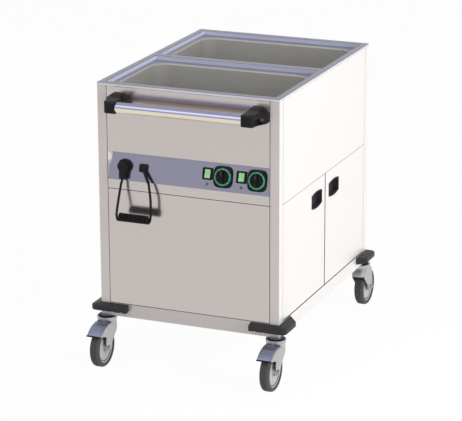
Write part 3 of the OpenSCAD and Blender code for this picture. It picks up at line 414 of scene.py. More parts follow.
def piece(name, mesh, finish, slot, body, replaces=(), edge=0.0, segments=2, smooth=35.0):
    """Puts a mesh in the scene as a piece with its material, rounded edges and body."""
    made = bpy.data.objects.new(name, mesh)
    bpy.context.scene.collection.objects.link(made)
    mesh.materials.append(MATERIALS[finish])
    for face in mesh.polygons:
        face.use_smooth = True
    mesh.set_sharp_from_angle(angle=math.radians(smooth))
    if edge:
        bevel = made.modifiers.new("edges", "BEVEL")
        bevel.width = edge * MM
        bevel.segments = segments
        bevel.limit_method = "ANGLE"
        bevel.angle_limit = math.radians(smooth)
        bevel.harden_normals = True
    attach(made, body)
    if replaces:
        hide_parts(*replaces)
    return made


def cut(mesh, *cutters):
    """The mesh with the cutters' volumes taken out of it."""
    base = bpy.data.objects.new("cut_base", mesh)
    bpy.context.scene.collection.objects.link(base)
    helpers = [base]
    for cutter_mesh in cutters:
        cutter = bpy.data.objects.new("cutter", cutter_mesh)
        bpy.context.scene.collection.objects.link(cutter)
        boolean = base.modifiers.new("cut", "BOOLEAN")
        boolean.object = cutter
        boolean.solver = "EXACT"
        helpers.append(cutter)
    graph = bpy.context.evaluated_depsgraph_get()
    result = bpy.data.meshes.new_from_object(base.evaluated_get(graph))
    for helper in helpers:
        bpy.data.objects.remove(helper)
    return result


def dress(finish, *nodes):
    """Gives CAD nodes, whose shapes stay, their material."""
    for node in nodes:
        for material_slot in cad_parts[node].material_slots:
            material_slot.material = MATERIALS[finish]


def on_fascia(x, t):
    """Local x across, y up the slope and z outward, at a place on the sloping panel."""
    y = -HALF_D + t * math.sin(FASCIA_TILT)
    z = FASCIA_Z + t * math.cos(FASCIA_TILT)
    return moved(x, y, z) @ Matrix.Rotation(math.pi / 2 - FASCIA_TILT, 4, "X")


def fascia_point(x, t, h):
    """A point at height h over the sloping panel, in millimetres."""
    return (on_fascia(x, t) @ Vector((0, 0, h * MM))) / MM


# ---- settings ----


def length_setting(name, description, size_mm):
    """A setting that is a length."""
    return FloatProperty(name=name, description=description, default=size_mm * MM, unit="LENGTH")


def colour_setting(name, description, hex_text):
    """A setting that is a colour."""
    default = linear(hex_text)[:3]
    return FloatVectorProperty(name=name, description=description, default=default, subtype="COLOR")


class TrolleySizes(bpy.types.PropertyGroup):
    rim_edge: length_setting("Rim edge", "Radius of the top rim's folded edge", 2.2)
    ledge_round: length_setting("Ledge round", "Radius where a ledge turns down into its well", 5.0)
    well_round: length_setting("Well floor round", "Radius between a well's wall and its floor", 26.0)
    cord_diameter: length_setting("Cord diameter", "Diameter of the mains cord", 7.4)
    tread_grooves: IntProperty(
        name="Tread grooves", description="Fine grooves round each tyre", default=4, min=0
    )


class TrolleyColours(bpy.types.PropertyGroup):
    steel: colour_setting("Steel", "Colour of the stainless sheets", "#C6BEBB")
    black: colour_setting("Black", "Colour of the black mouldings", "#101012")


# ---- one operator for each piece or group of like pieces ----


class TROLLEY_OT_camera(bpy.types.Operator):
    """Places the camera that was solved from the photograph's vanishing lines."""

    bl_idname = "trolley.camera"
    bl_label = "Camera"

    azimuth = 22.47999
    elevation = 17.06668
    roll = -0.19614
    place = (2.583003, -6.299990, 2.505180)

    def execute(self, context):
        camera_data = bpy.data.cameras.new("photo_camera")
        camera_data.sensor_width = 36.0
        camera_data.lens = 174.36
        camera_data.clip_end = 60.0
        camera = bpy.data.objects.new("photo_camera", camera_data)
        context.scene.collection.objects.link(camera)
        camera.matrix_world = (
            Matrix.Translation(self.place)
            @ Matrix.Rotation(math.radians(self.azimuth), 4, "Z")
            @ Matrix.Rotation(math.radians(90.0 - self.elevation), 4, "X")
            @ Matrix.Rotation(math.radians(self.roll), 4, "Z")
        )
        context.scene.camera = camera
        return {"FINISHED"}


class TROLLEY_OT_cord(bpy.types.Operator):
    """Lays the mains cord: out of its sleeve, through a hanging coil and up to the parked plug."""

    bl_idname = "trolley.cord"
    bl_label = "Mains cord"

    coil_start = (-212.0, -439.0, 496.0)
    coil_radius = 10.5
    coil_pitch = 8.1
    half_turns = 25
    steps_per_half_turn = 4
    plug_route = [(-210, -420, 595), (-212, -427, 570), (-213, -436, 545), (-213, -445, 522)]
    outlet_route = [
        (-122, -414, 604), (-117, -419, 588), (-112, -424, 566), (-109, -428, 544), (-109, -429, 522)
    ]

    def coil_point(self, step):
        angle = math.pi * step / self.steps_per_half_turn
        along = self.coil_pitch * step / (2 * self.steps_per_half_turn)
        return Vector(self.coil_start) + Vector((
            along, -self.coil_radius * math.cos(angle), -self.coil_radius * math.sin(angle)
        ))

    def coil_direction(self, step):
        angle = math.pi * step / self.steps_per_half_turn
        lead = self.coil_pitch / math.tau
        return Vector((
            lead, self.coil_radius * math.sin(angle), -self.coil_radius * math.cos(angle)
        )).normalized()

    def execute(self, context):
        thickness = context.scene.trolley_sizes.cord_diameter / MM
        steps = self.half_turns * self.steps_per_half_turn
        coil_in = self.coil_point(0) - self.coil_direction(0) * thickness
        coil_out = self.coil_point(steps) + self.coil_direction(steps) * thickness
        neck_end = fascia_point(PLUG_X, 4.5, 15.5)
        neck_down = Vector((0, -math.sin(FASCIA_TILT), -math.cos(FASCIA_TILT)))
        sleeve = (Vector(self.outlet_route[0]) - fascia_point(OUTLET_X, CONTROL_T, 5)).normalized()
        outlet_side = [Vector(p) for p in self.outlet_route] + [coil_out]
        plug_side = [coil_in] + [Vector(p) for p in reversed(self.plug_route)] + [neck_end]
        coil = [self.coil_point(i) for i in range(steps, -1, -1)]
        runs = (
            smooth_run(outlet_side, sleeve, -self.coil_direction(steps)),
            coil,
            smooth_run(plug_side, -self.coil_direction(0), -neck_down),
        )
        route = [p for run in runs for p in run]
        curve = bpy.data.curves.new("mains_cord", "CURVE")
        curve.dimensions = "3D"
        curve.bevel_depth = thickness / 2 * MM
        curve.bevel_resolution = 5
        curve.use_fill_caps = True
        spline = curve.splines.new("POLY")
        spline.points.add(len(route) - 1)
        for point, place in zip(spline.points, route):
            point.co = (*(place * MM), 1.0)
        curve.materials.append(MATERIALS["cord"])
        made = bpy.data.objects.new("mains_cord", curve)
        context.scene.collection.objects.link(made)
        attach(made, "cabinet")
        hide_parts("cord_tail_outlet", "cord_coil", "cord_tail_plug")
        return {"FINISHED"}


def smooth_run(points, first_way, last_way, steps=8):
    """Points on a smooth curve through the given ones, with the ways in which it starts and ends."""
    ways = [first_way * (points[1] - points[0]).length]
    ways += [(points[i + 1] - points[i - 1]) / 2 for i in range(1, len(points) - 1)]
    ways.append(last_way * (points[-1] - points[-2]).length)
    run = []
    for i in range(len(points) - 1):
        for k in range(steps):
            t = k / steps
            run.append(
                points[i] * (2 * t**3 - 3 * t**2 + 1)
                + ways[i] * (t**3 - 2 * t**2 + t)
                + points[i + 1] * (3 * t**2 - 2 * t**3)
                + ways[i + 1] * (t**3 - t**2)
            )
    return run + [points[-1]]


class TROLLEY_OT_cabinet(bpy.types.Operator):
    """Gives the cabinet's sheets, posts and rails, and the small steel parts, their materials."""

    bl_idname = "trolley.cabinet"
    bl_label = "Cabinet"

    def execute(self, context):
        dress("sheet", "corner_posts", "door_jamb")
        dress("sheet", "side_panel_left", "side_panel_right", "door_front", "door_rear")
        dress("sheet_across", "base_tray", "cabinet_ceiling")
        dress("front", "front_panel_upper", "front_panel_lower", "control_panel", "rear_panel")
        dress("mat", "heating_mats")
        dress("zinc", "handle_screws", "hinge_pins", "caster_heads")
        dress("zinc", *(f"axle_{corner}" for corner in CORNERS))
        self.seal_seams()
        self.seal_doors()
        self.line_cheeks()
        return {"FINISHED"}

    def seal_seams(self):
        """Lays a thin bead in each gap between two sheets that has a strip behind it: dark painted shade in
        the front gaps, and a lighter bead, painted light, in the brightly lit side gaps.
        """
        bead, over = 0.4, 4.0
        face_x, face_y = HALF_W - SHEET, HALF_D - SHEET
        low, high = LOWER_Z - SEAM, POSTS_HIGH.z
        split_low, split_high = SPLIT_Z - SEAM / 2, SPLIT_Z + SEAM / 2
        beads = {"front": [], "side": []}

        def lay(facing, x, y, z):
            outline = [(x[0], y[0]), (x[1], y[0]), (x[1], y[1]), (x[0], y[1])]
            beads[facing].append(extrude("bead", outline, z[0], z[1]))

        front_spans = ((low, FASCIA_Z - SEAM), (FASCIA_TOP_Z + SEAM, high))
        for side_y, spans in ((-1, front_spans), (1, ((low, high),))):
            y = sorted((side_y * face_y, side_y * (face_y + bead)))
            for side_x in SIDES.values():
                x = sorted((side_x * (PANEL_X + SEAM), side_x * PANEL_X))
                for span in spans:
                    lay("front", x, y, span)
            lay("front", (-PANEL_X, PANEL_X), y, (low, low + SEAM))
        lay("front", (-PANEL_X, PANEL_X), (-face_y - bead, -face_y), (split_low, split_high))
        for side_x, start in ((-1, low), (1, split_high + over)):
            x = sorted((side_x * face_x, side_x * (face_x + bead)))
            for side_y in SIDES.values():
                lay("side", x, sorted((side_y * (PANEL_Y + SEAM), side_y * PANEL_Y)), (start, high))
        lay("side", (-face_x - bead, -face_x), (-PANEL_Y, PANEL_Y), (low, low + SEAM))
        # Dark beads are painted shade; the side beads are painted light.
        for facing, finish in (("front", "painted_seam_fill"), ("side", "sealant_pale")):
            name = f"seam_sealant_{facing}"
            piece(name, join_meshes(name, beads[facing]), finish, "black_plastic", "cabinet")

    def line_cheeks(self):
        """Lines the slanting cheek at each end of the control recess with a thin light sheet: painted light
        on a cheek that stands in shade.
        """
        gap, thin, inset = 0.12, 0.3, 0.6
        slope = math.hypot(RECESS, CHEEK_W)
        foot = Vector((PANEL_X, -HALF_D, FASCIA_Z))
        back = Vector((-CHEEK_W, RECESS, 0)) / slope
        out = Vector((-RECESS, -CHEEK_W, 0)) / slope
        top = FASCIA_TOP_Z - FASCIA_Z - inset / 3
        corners = [(inset / 2, 5 * inset), (inset / 2, top), (slope - inset, top)]
        sheets = []
        for side in SIDES.values():
            rings = []
            for off in (gap, gap + thin):
                ring = [foot + back * along + out * off + Vector((0, 0, z)) for along, z in corners]
                rings.append([(side * p.x, p.y, p.z) for p in ring])
            sheets.append(loft("cheek", rings))
        piece("recess_cheeks", join_meshes("recess_cheeks", sheets), "cheek", "steel_sheet", "cabinet")

    def seal_doors(self):
        """Fills the gaps round the doors: black rubber seals between and under them, which also stand in for
        the shade in these gaps, and a light strip of painted light over them.
        """
        low, high = box_mm("door_front")
        panel_z = box_mm("side_panel_right")[0].z
        deep, thick, clear = 2.0, 1.2, 0.3
        upright = rounded(high.x - low.x - deep, thick, 0.5, 3, ((low.x + high.x - deep) / 2, 0.0))
        seal = extrude("seal", upright, low.z, high.z)
        doors_l = 2 * (high.y - low.y)
        sill_w, sill_x = 14.0, high.x - 7.2
        sill_outline = rounded(sill_w, doors_l - 24.0, 1.0, 3, (sill_x, 0.0))
        sill = extrude("sill", sill_outline, LOWER_Z - SEAM, low.z - clear)
        piece("door_seals_and_gap_shade", join_meshes("door_seals_and_gap_shade", [seal, sill]), "rubber", "black_plastic", "cabinet")
        # The light strip over the doors is painted light in that gap.
        head_w, head_x = 3.0, high.x - 2.4
        head_outline = rounded(head_w, doors_l - 6.0, 0.5, 3, (head_x, 0.0))
        head = extrude("door_head_painted_light", head_outline, high.z + clear, panel_z - 0.1)
        piece("door_head_painted_light", head, "sealant_pale", "black_plastic", "cabinet")
        # The edge seal darkens the gap between the doors: a real seal, and painted shade.
        strip_w, strip_t = 5.2, 0.5
        strip_outline = rounded(2 * strip_t, strip_w, 0.4, 3, (high.x, thick / 2 - strip_w / 2))
        strip = extrude("door_edge_seal_and_shade", strip_outline, low.z, high.z)
        piece("door_edge_seal_and_shade", strip, "rubber", "black_plastic", "door_front_body")


class TROLLEY_OT_top(bpy.types.Operator):
    """Builds the top plate: a flat rim and a bar round two square windows, with rounded edges."""

    bl_idname = "trolley.top"
    bl_label = "Top rim"

    def execute(self, context):
        sizes = context.scene.trolley_sizes
        across = [TOP_LOW.x, WELL_LOW.x + SHEET, WELL_HIGH.x - SHEET, TOP_HIGH.x]
        along = [
            TOP_LOW.y, WELL_LOW.y + SHEET, WELL_HIGH.y - SHEET,
            -(WELL_HIGH.y - SHEET), -(WELL_LOW.y + SHEET), TOP_HIGH.y,
        ]
        work = bmesh.new()
        grid = [[work.verts.new(Vector((x, y, TOP_LOW.z)) * MM) for y in along] for x in across]
        for i in range(len(across) - 1):
            for k in range(len(along) - 1):
                if i == 1 and k in (1, 3):
                    continue
                work.faces.new((grid[i][k], grid[i + 1][k], grid[i + 1][k + 1], grid[i][k + 1]))
        lifted = bmesh.ops.extrude_face_region(work, geom=list(work.faces))
        raised = [g for g in lifted["geom"] if isinstance(g, bmesh.types.BMVert)]
        bmesh.ops.translate(work, verts=raised, vec=(0, 0, (TOP_HIGH.z - TOP_LOW.z) * MM))
        bmesh.ops.recalc_face_normals(work, faces=work.faces)
        mesh = bpy.data.meshes.new("top_rim")
        work.to_mesh(mesh)
        work.free()
        edge = sizes.rim_edge / MM
        piece("top_rim", mesh, "rim", "steel_edge", "cabinet", ["top_plate"], edge=edge, segments=3)
        return {"FINISHED"}


class TROLLEY_OT_wells(bpy.types.Operator):
    """Draws the two wells: an upstand, a flat ledge, and a deep tub with round corners and floor."""

    bl_idname = "trolley.wells"
    bl_label = "Wells"

    ledge_depth = 15.0
    # The tub's mouth: width, length and corner radius.
    mouth = (512.0, 308.0, 47.0)
    # The floor rises by the crown toward its middle, and is level inside the crown's inset.
    crown = 1.2
    crown_inset = 30.0
    # The upstand is folded up inside the rim's window, almost to its top.
    corner_fold = 4.0
    liner = 0.6
    liner_top = 898.2
    clear = 0.1

    def execute(self, context):
        sizes = context.scene.trolley_sizes
        window = (WELL_HIGH.x - WELL_LOW.x - 2 * SHEET, WELL_HIGH.y - WELL_LOW.y - 2 * SHEET)
        for end, side in (("front", -1), ("rear", 1)):
            centre = (0.0, side * (abs(WELL_LOW.y) + abs(WELL_HIGH.y)) / 2)
            skin, under = (
                stack(
                    (rounded(width, length, radius, 8, centre), height)
                    for width, length, radius, height in self.skin(
                        sizes.ledge_round / MM, sizes.well_round / MM, window, out
                    )
                )
                for out in (0.0, SHEET)
            )
            node = f"well_{end}"
            tub = loft(f"{node}_drawn", skin[:-3] + under[-4::-1])
            piece(f"{node}_drawn", tub, "well", "steel_sheet", "cabinet", [node], smooth=40.0)
            folds = (
                (self.liner, self.liner_top),
                (self.clear, self.liner_top),
                (self.clear, WELL_HIGH.z - self.clear),
            )
            lining = stack(
                (rounded(window[0] - 2 * inset, window[1] - 2 * inset, self.corner_fold, 8, centre), height)
                for inset, height in folds
            )
            folded = skin[-4:] + lining + under[:-5:-1]
            upstand = loft(f"{node}_frame", folded + folded[:1], caps=(False, False))
            piece(f"{node}_frame", upstand, "frame", "steel_sheet", "cabinet", [node], smooth=40.0)
        return {"FINISHED"}

    def skin(self, ledge_round, floor_round, window, out):
        """Width, length, corner radius and height of each ring of a skin, a sheet's thickness out."""
        mouth_w, mouth_d, corner = self.mouth
        ledge, floor = TOP_HIGH.z - self.ledge_depth - out, WELL_LOW.z + SHEET - out
        lip, bend = ledge_round - out, floor_round + out
        level_w, level_d = (size - 2 * (floor_round + self.crown_inset) for size in (mouth_w, mouth_d))
        rings = [(level_w, level_d, corner / 2, floor + self.crown)]
        for angle in range(0, 91, 15):
            turn = math.radians(angle)
            inset = bend * (1 - math.sin(turn)) - out
            height = floor + bend * (1 - math.cos(turn))
            rings.append((mouth_w - 2 * inset, mouth_d - 2 * inset, corner - inset, height))
        for angle in range(0, 91, 18):
            turn = math.radians(angle)
            spread = ledge_round - lip * math.cos(turn)
            height = ledge - lip * (1 - math.sin(turn))
            rings.append((mouth_w + 2 * spread, mouth_d + 2 * spread, corner + spread, height))
        spread = out if out else -self.liner
        recess_w, recess_d = (size + 2 * spread for size in window)
        rings.append((recess_w - 4, recess_d - 4, self.corner_fold, ledge))
        rings.append((recess_w, recess_d, self.corner_fold, ledge + 2))
        rings.append((recess_w, recess_d, self.corner_fold, WELL_HIGH.z - self.clear))
        return rings


class TROLLEY_OT_handle(bpy.types.Operator):
    """Makes the push handle: a tube and two moulded brackets with a deep hole for the screw."""

    bl_idname = "trolley.handle"
    bl_label = "Push handle"

    wall = 2.0
    chamfer = (22.0, 16.0)
    # The screw's place across and up, the radius of its hole and its shank, and the wall under its head.
    screw = (246.0, 838.0)
    hole_r, shank_r, seat = 9.0, 4.2, 11.0

    def execute(self, context):
        low, high = box_mm("handle_tube")
        middle = (low + high) / 2
        radius, half = (high.z - low.z) / 2, (high.x - low.x) / 2
        across = moved(*middle) @ turned("Y")
        profile = [(radius, -half), (radius, half), (radius - self.wall, half), (radius - self.wall, -half)]
        tube = lathe("handle_tube_drawn", profile, across, 96, closed=True)
        piece("handle_tube_drawn", tube, "tube", "handle_alloy", "cabinet", ["handle_tube"])
        for name, side in SIDES.items():
            self.bracket(name, side)
        return {"FINISHED"}

    def bracket(self, name, side):
        low, high = box_mm("handle_bracket_right")
        top, bottom, wall = high.z, low.z, high.y
        inner, outer = low.x, high.x
        # Distance from the wall, inner x, outer x, lowest z, highest z, and how much of the chamfer is left.
        stations = [
            (0, inner + 8, outer, bottom + 2, top - 6, 1.0),
            (4, inner + 8, outer, bottom + 1, top, 1.0),
            (8, inner + 8, outer, bottom + 0.5, top, 1.0),
            (12, inner + 7.5, outer - 2, bottom + 0.2, top - 1, 0.9),
            (20, inner + 4, outer - 6, bottom, top - 5, 0.7),
            (32, inner + 1, outer - 12, bottom, top - 10, 0.3),
            (44, inner, outer - 18, bottom, top - 10, 0.12),
            (56, inner, outer - 20.5, bottom, top - 10, 0.1),
            (68, inner, outer - 22, bottom, top - 10, 0.1),
            (73, inner, outer - 24, bottom + 1, top - 11, 0.1),
            (76.5, inner + 1, outer - 27, bottom + 3.5, top - 13.5, 0.1),
            (78, inner + 4, outer - 31, bottom + 7, top - 17, 0.1),
        ]
        rings = []
        for depth, x0, x1, z0, z1, left in stations:
            cut_x, cut_z = self.chamfer[0] * left, self.chamfer[1] * left
            corners = [(x0, z0), (x1, z0), (x1, z1 - cut_z), (x1 - cut_x, z1), (x0, z1)]
            outline = filleted(corners, [3.0, 5.0, 8.0 * left + 2.0, 8.0 * left + 2.0, 3.0], 4)
            rings.append([(side * x, wall - depth, z) for x, z in outline])
        mesh = loft("handle_bracket", rings)
        screw_x, screw_z = self.screw
        at_seat = moved(side * screw_x, wall - self.seat, screw_z) @ turned("X")
        at_wall = moved(side * screw_x, wall, screw_z) @ turned("X")
        hole = lathe("hole", [(self.hole_r, 0), (self.hole_r, 72)], at_seat, 48)
        shank = lathe("shank", [(self.shank_r, -1), (self.shank_r, 20)], at_wall, 24)
        mesh = cut(mesh, hole, shank)
        node = f"handle_bracket_{name}"
        piece(f"{node}_moulded", mesh, "black", "black_plastic", "cabinet", [node], smooth=38.0)


class TROLLEY_OT_bumpers(bpy.types.Operator):
    """Moulds the corner bumpers: an L round each corner with a sloping top and a thick lower edge."""

    bl_idname = "trolley.bumpers"
    bl_label = "Corner bumpers"

    corner_round = 16.0
    slope = 6.0
    straight_end = 45.0
    notch_width = 7.0
    notch_inset = (30.0, 60.0)

    def execute(self, context):
        low, high = box_mm("bumper_rear_right")
        length_x = high.x - low.x
        arm_start = low.x
        radius = self.corner_round
        centre = (high.x - radius, high.y - radius)
        stations = [
            ((arm_start, HALF_D), (arm_start, high.y)),
            ((arm_start + length_x / 3, HALF_D), (arm_start + length_x / 3, high.y)),
            ((HALF_W, HALF_D), (centre[0], high.y)),
        ]
        for x, y in arc(centre, radius, 90, 0, 6)[1:]:
            stations.append(((HALF_W, HALF_D), (x, y)))
        straight_y, width, height = low.y + self.straight_end, high.x - HALF_W, high.z - low.z
        stations.append(((HALF_W, straight_y), (high.x, straight_y)))
        stations.append(((HALF_W, low.y), (high.x, low.y + width)))
        # Share of the width from the cabinet's wall outward, and height over the lower edge.
        section = [
            (0.0, 0.0), (1.0 - 2.5 / width, 0.0), (1.0, 2.0), (1.0, height - self.slope - 2.0),
            (1.0 - 3.0 / width, height - self.slope), (0.0, height),
        ]
        for corner, (side_x, side_y) in CORNERS.items():
            rings = []
            for wall, out in stations:
                ring = []
                for share, up in section:
                    ring.append((
                        side_x * (wall[0] + (out[0] - wall[0]) * share),
                        side_y * (wall[1] + (out[1] - wall[1]) * share),
                        low.z + up,
                    ))
                rings.append(ring)
            mesh = loft("bumper", rings)
            notches = []
            for inset in self.notch_inset:
                x = side_x * (arm_start + inset - 11)
                notch = rounded(self.notch_width, 12.0, 1.5, 3, (x, side_y * high.y))
                notches.append(extrude("notch", notch, low.z - 1, low.z + 6))
            mesh = cut(mesh, *notches)
            node = f"bumper_{corner}"
            piece(f"{node}_moulded", mesh, "bumper", "bumper_plastic", "cabinet", [node], edge=1.2)
        return {"FINISHED"}


class TROLLEY_OT_thermostats(bpy.types.Operator):
    """Makes both thermostats: a rounded bezel, a printed dial ring and a knob with a grip bar."""

    bl_idname = "trolley.thermostats"
    bl_label = "Thermostats"

    # Bezel and grip bar: width, length and thickness. Ring: outer and inner radius and thickness.
    bezel = (61.0, 66.0, 6.0)
    bezel_power = 3.8
    ring = (26.4, 21.5, 2.0)
    bar = (13.0, 41.0, 9.0)
    # Body behind the panel and shaft: radius and length. Knob: radius, skirt and gap to the bezel.
    body = (20.0, 32.0)
    shaft = (3.0, 20.0)
    knob = (21.0, 7.0, 0.4)
    tick_count = 9
    tick_sweep = 270.0

    def execute(self, context):
        for name, x in zip(SIDES, THERMOSTAT_X):
            place = on_fascia(x, CONTROL_T)
            width, length, thickness = self.bezel
            levels = ((0, 0), (0, thickness - 1.8), (0.5, thickness - 0.6), (1.8, thickness))
            rings = stack(
                (self.bulged(width / 2 - inset, length / 2 - inset), height) for inset, height in levels
            )
            bezel = loft("bezel", rings, matrix=place)
            body_r, body_l = self.body
            body = lathe("body", [(body_r - 1, -body_l), (body_r, 1 - body_l), (body_r, 0.5)], place)
            node = f"thermostat_{name}"
            joined = join_meshes(f"{node}_bezel", [bezel, body])
            piece(f"{node}_bezel", joined, "black", "black_plastic", "cabinet", [node])
            out_r, in_r, ring_t = self.ring
            profile = [
                (in_r, thickness), (out_r, thickness), (out_r, thickness + ring_t - 0.5),
                (out_r - 0.5, thickness + ring_t), (in_r, thickness + ring_t),
            ]
            dial = lathe(f"{node}_dial", profile, place, 96, closed=True)
            piece(f"{node}_dial", dial, "ring", "green_plastic", "cabinet")
            marks = join_meshes(f"{node}_marks", [self.tick(place, k) for k in range(self.tick_count)])
            piece(f"{node}_marks", marks, "mark", "zinc", "cabinet")
            self.make_knob(f"knob_{name}", place, thickness)
        return {"FINISHED"}

    def bulged(self, half_w, half_l, steps=64):
        """A square with round corners and sides that swell a little."""
        points = []
        for k in range(steps):
            angle = math.tau * k / steps
            x, y = math.cos(angle), math.sin(angle)
            points.append((
                half_w * math.copysign(abs(x) ** (2 / self.bezel_power), x),
                half_l * math.copysign(abs(y) ** (2 / self.bezel_power), y),
            ))
        return points

    def tick(self, place, index):
        out_r, in_r, ring_t = self.ring
        angle = math.radians(90 + self.tick_sweep / 2 - self.tick_sweep * index / (self.tick_count - 1))
        outline = rounded(0.9, 2.6, 0.4, 2, (0.0, 0.0))
        spin = Matrix.Rotation(angle - math.pi / 2, 4, "Z")
        shift = moved(0, (out_r + in_r) / 2 + 0.6, 0)
        top = self.bezel[2] + ring_t
        return extrude("tick", outline, top - 0.2, top + 0.1, place @ spin @ shift)

    def make_knob(self, node, place, thickness):
        radius, skirt, gap = self.knob
        base = thickness + gap
        profile = [
            (radius - 0.4, base), (radius, base + 0.6), (radius - 0.8, base + skirt - 1.6),
            (radius - 2.6, base + skirt), (0.0, base + skirt + 0.2),
        ]
        shaft_r, shaft_l = self.shaft
        body = lathe("skirt", profile, place)
        shaft = lathe("shaft", [(shaft_r, base - shaft_l + 1), (shaft_r, base + 1)], place, 24)
        width, length, height = self.bar
        foot = base + skirt - 0.6
        rings = stack(
            (rounded(width - 2 * inset, length - 2 * inset - 1.5, (width - 2 * inset) / 2 - 0.2), foot + z)
            for inset, z in ((-0.6, 0.0), (0.4, 1.5), (1.4, height - 1.2), (2.6, height))
        )
        bar = loft("bar", rings, matrix=place)
        line = rounded(1.6, 13.0, 0.7, 3, (0.0, length / 2 - 10.0))
        pointer = extrude("pointer", line, 0.0, 0.35, place @ moved(0, 0, foot + height))
        turned_mesh = join_meshes(node, [body, shaft, bar])
        piece(f"{node}_turned", turned_mesh, "knob", "knob_plastic", f"{node}_body", [node])
        piece(f"{node}_pointer", pointer, "print", "zinc", f"{node}_body")


class TROLLEY_OT_switches(bpy.types.Operator):
    """Makes both switches: a frame with a pocket, a green rocker and a printed mark under each."""

    bl_idname = "trolley.switches"
    bl_label = "Switches"

    # Width, length and thickness or depth.
    frame_size = (34.0, 37.0, 3.0)
    pocket = (18.8, 27.8, 7.2)
    body = (26.0, 31.0, 22.0)
    # Width, radius, how far it hangs under and rises over its pin, and the dip in its face.
    rocker = (18.0, 13.5, 5.0, 4.5, 1.2)
    tilt = 8.0
    mark_t = 17.2
    mark_radius = 4.5
    mark_stroke = 2.2
    mark_thickness = 0.15

    def execute(self, context):
        for name, x in zip(SIDES, SWITCH_X):
            place = on_fascia(x, SWITCH_T)
            width, length, thickness = self.frame_size
            pocket_w, pocket_l, pocket_depth = self.pocket
            outside = stack(
                (rounded(width - 2 * inset, length - 2 * inset, corner, 4), height)
                for inset, height, corner in ((0, 0, 4), (0, thickness - 0.9, 4), (0.9, thickness, 3.4))
            )
            inside = stack(
                (rounded(pocket_w + 2 * spread, pocket_l + 2 * spread, 1.0, 4), height)
                for spread, height in ((1.4, thickness), (0.0, thickness - 1.4), (0.0, -pocket_depth))
            )
            housing = loft("housing", outside + inside, caps=(False, True), matrix=place)
            body_w, body_l, body_depth = self.body
            body = rounded(body_w, body_l, 1.0, 4)
            shell = loft("shell", stack([(body, 0.0), (body, -body_depth)]), caps=(False, True), matrix=place)
            node = f"switch_{name}"
            joined = join_meshes(f"{node}_frame", [housing, shell])
            piece(f"{node}_frame", joined, "black", "black_plastic", "cabinet", [node])
            self.make_rocker(f"rocker_{name}", place)
            self.make_mark(f"{node}_mark", x)
        return {"FINISHED"}

    def make_rocker(self, node, place):
        width, radius, drop, rise, dip = self.rocker
        tilted = place @ Matrix.Rotation(-math.radians(self.tilt), 4, "X")
        low_angle = math.degrees(math.asin(drop / radius))
        high_angle = math.degrees(math.asin(rise / radius))
        right = arc((0, 0), radius, -low_angle, high_angle, 6)
        left = arc((0, 0), radius, 180 - high_angle, 180 + low_angle, 6)
        slack = rise - dip * 0.55
        dish = [(radius * 0.5, slack), (0.0, rise - dip), (-radius * 0.5, slack)]
        across = tilted @ turned("Z") @ turned("X")
        mesh = extrude(node, right + dish + left, -width / 2, width / 2, across)
        edges = {"edge": 0.9, "segments": 3, "smooth": 30.0}
        piece(f"{node}_moulded", mesh, "rocker", "green_plastic", f"{node}_body", [node], **edges)

    def make_mark(self, name, x):
        place = on_fascia(x, self.mark_t)
        radius, stroke, thick = self.mark_radius, self.mark_stroke, self.mark_thickness
        rim = [(radius, 0), (radius, thick), (radius - stroke, thick), (radius - stroke, 0)]
        ring = lathe(name, rim, place, 32, closed=True)
        stem = extrude("stem", rounded(stroke, 2 * radius - stroke, 0.3, 2), 0.0, thick, place)
        piece(name, join_meshes(name, [ring, stem]), "print", "steel_edge", "cabinet")


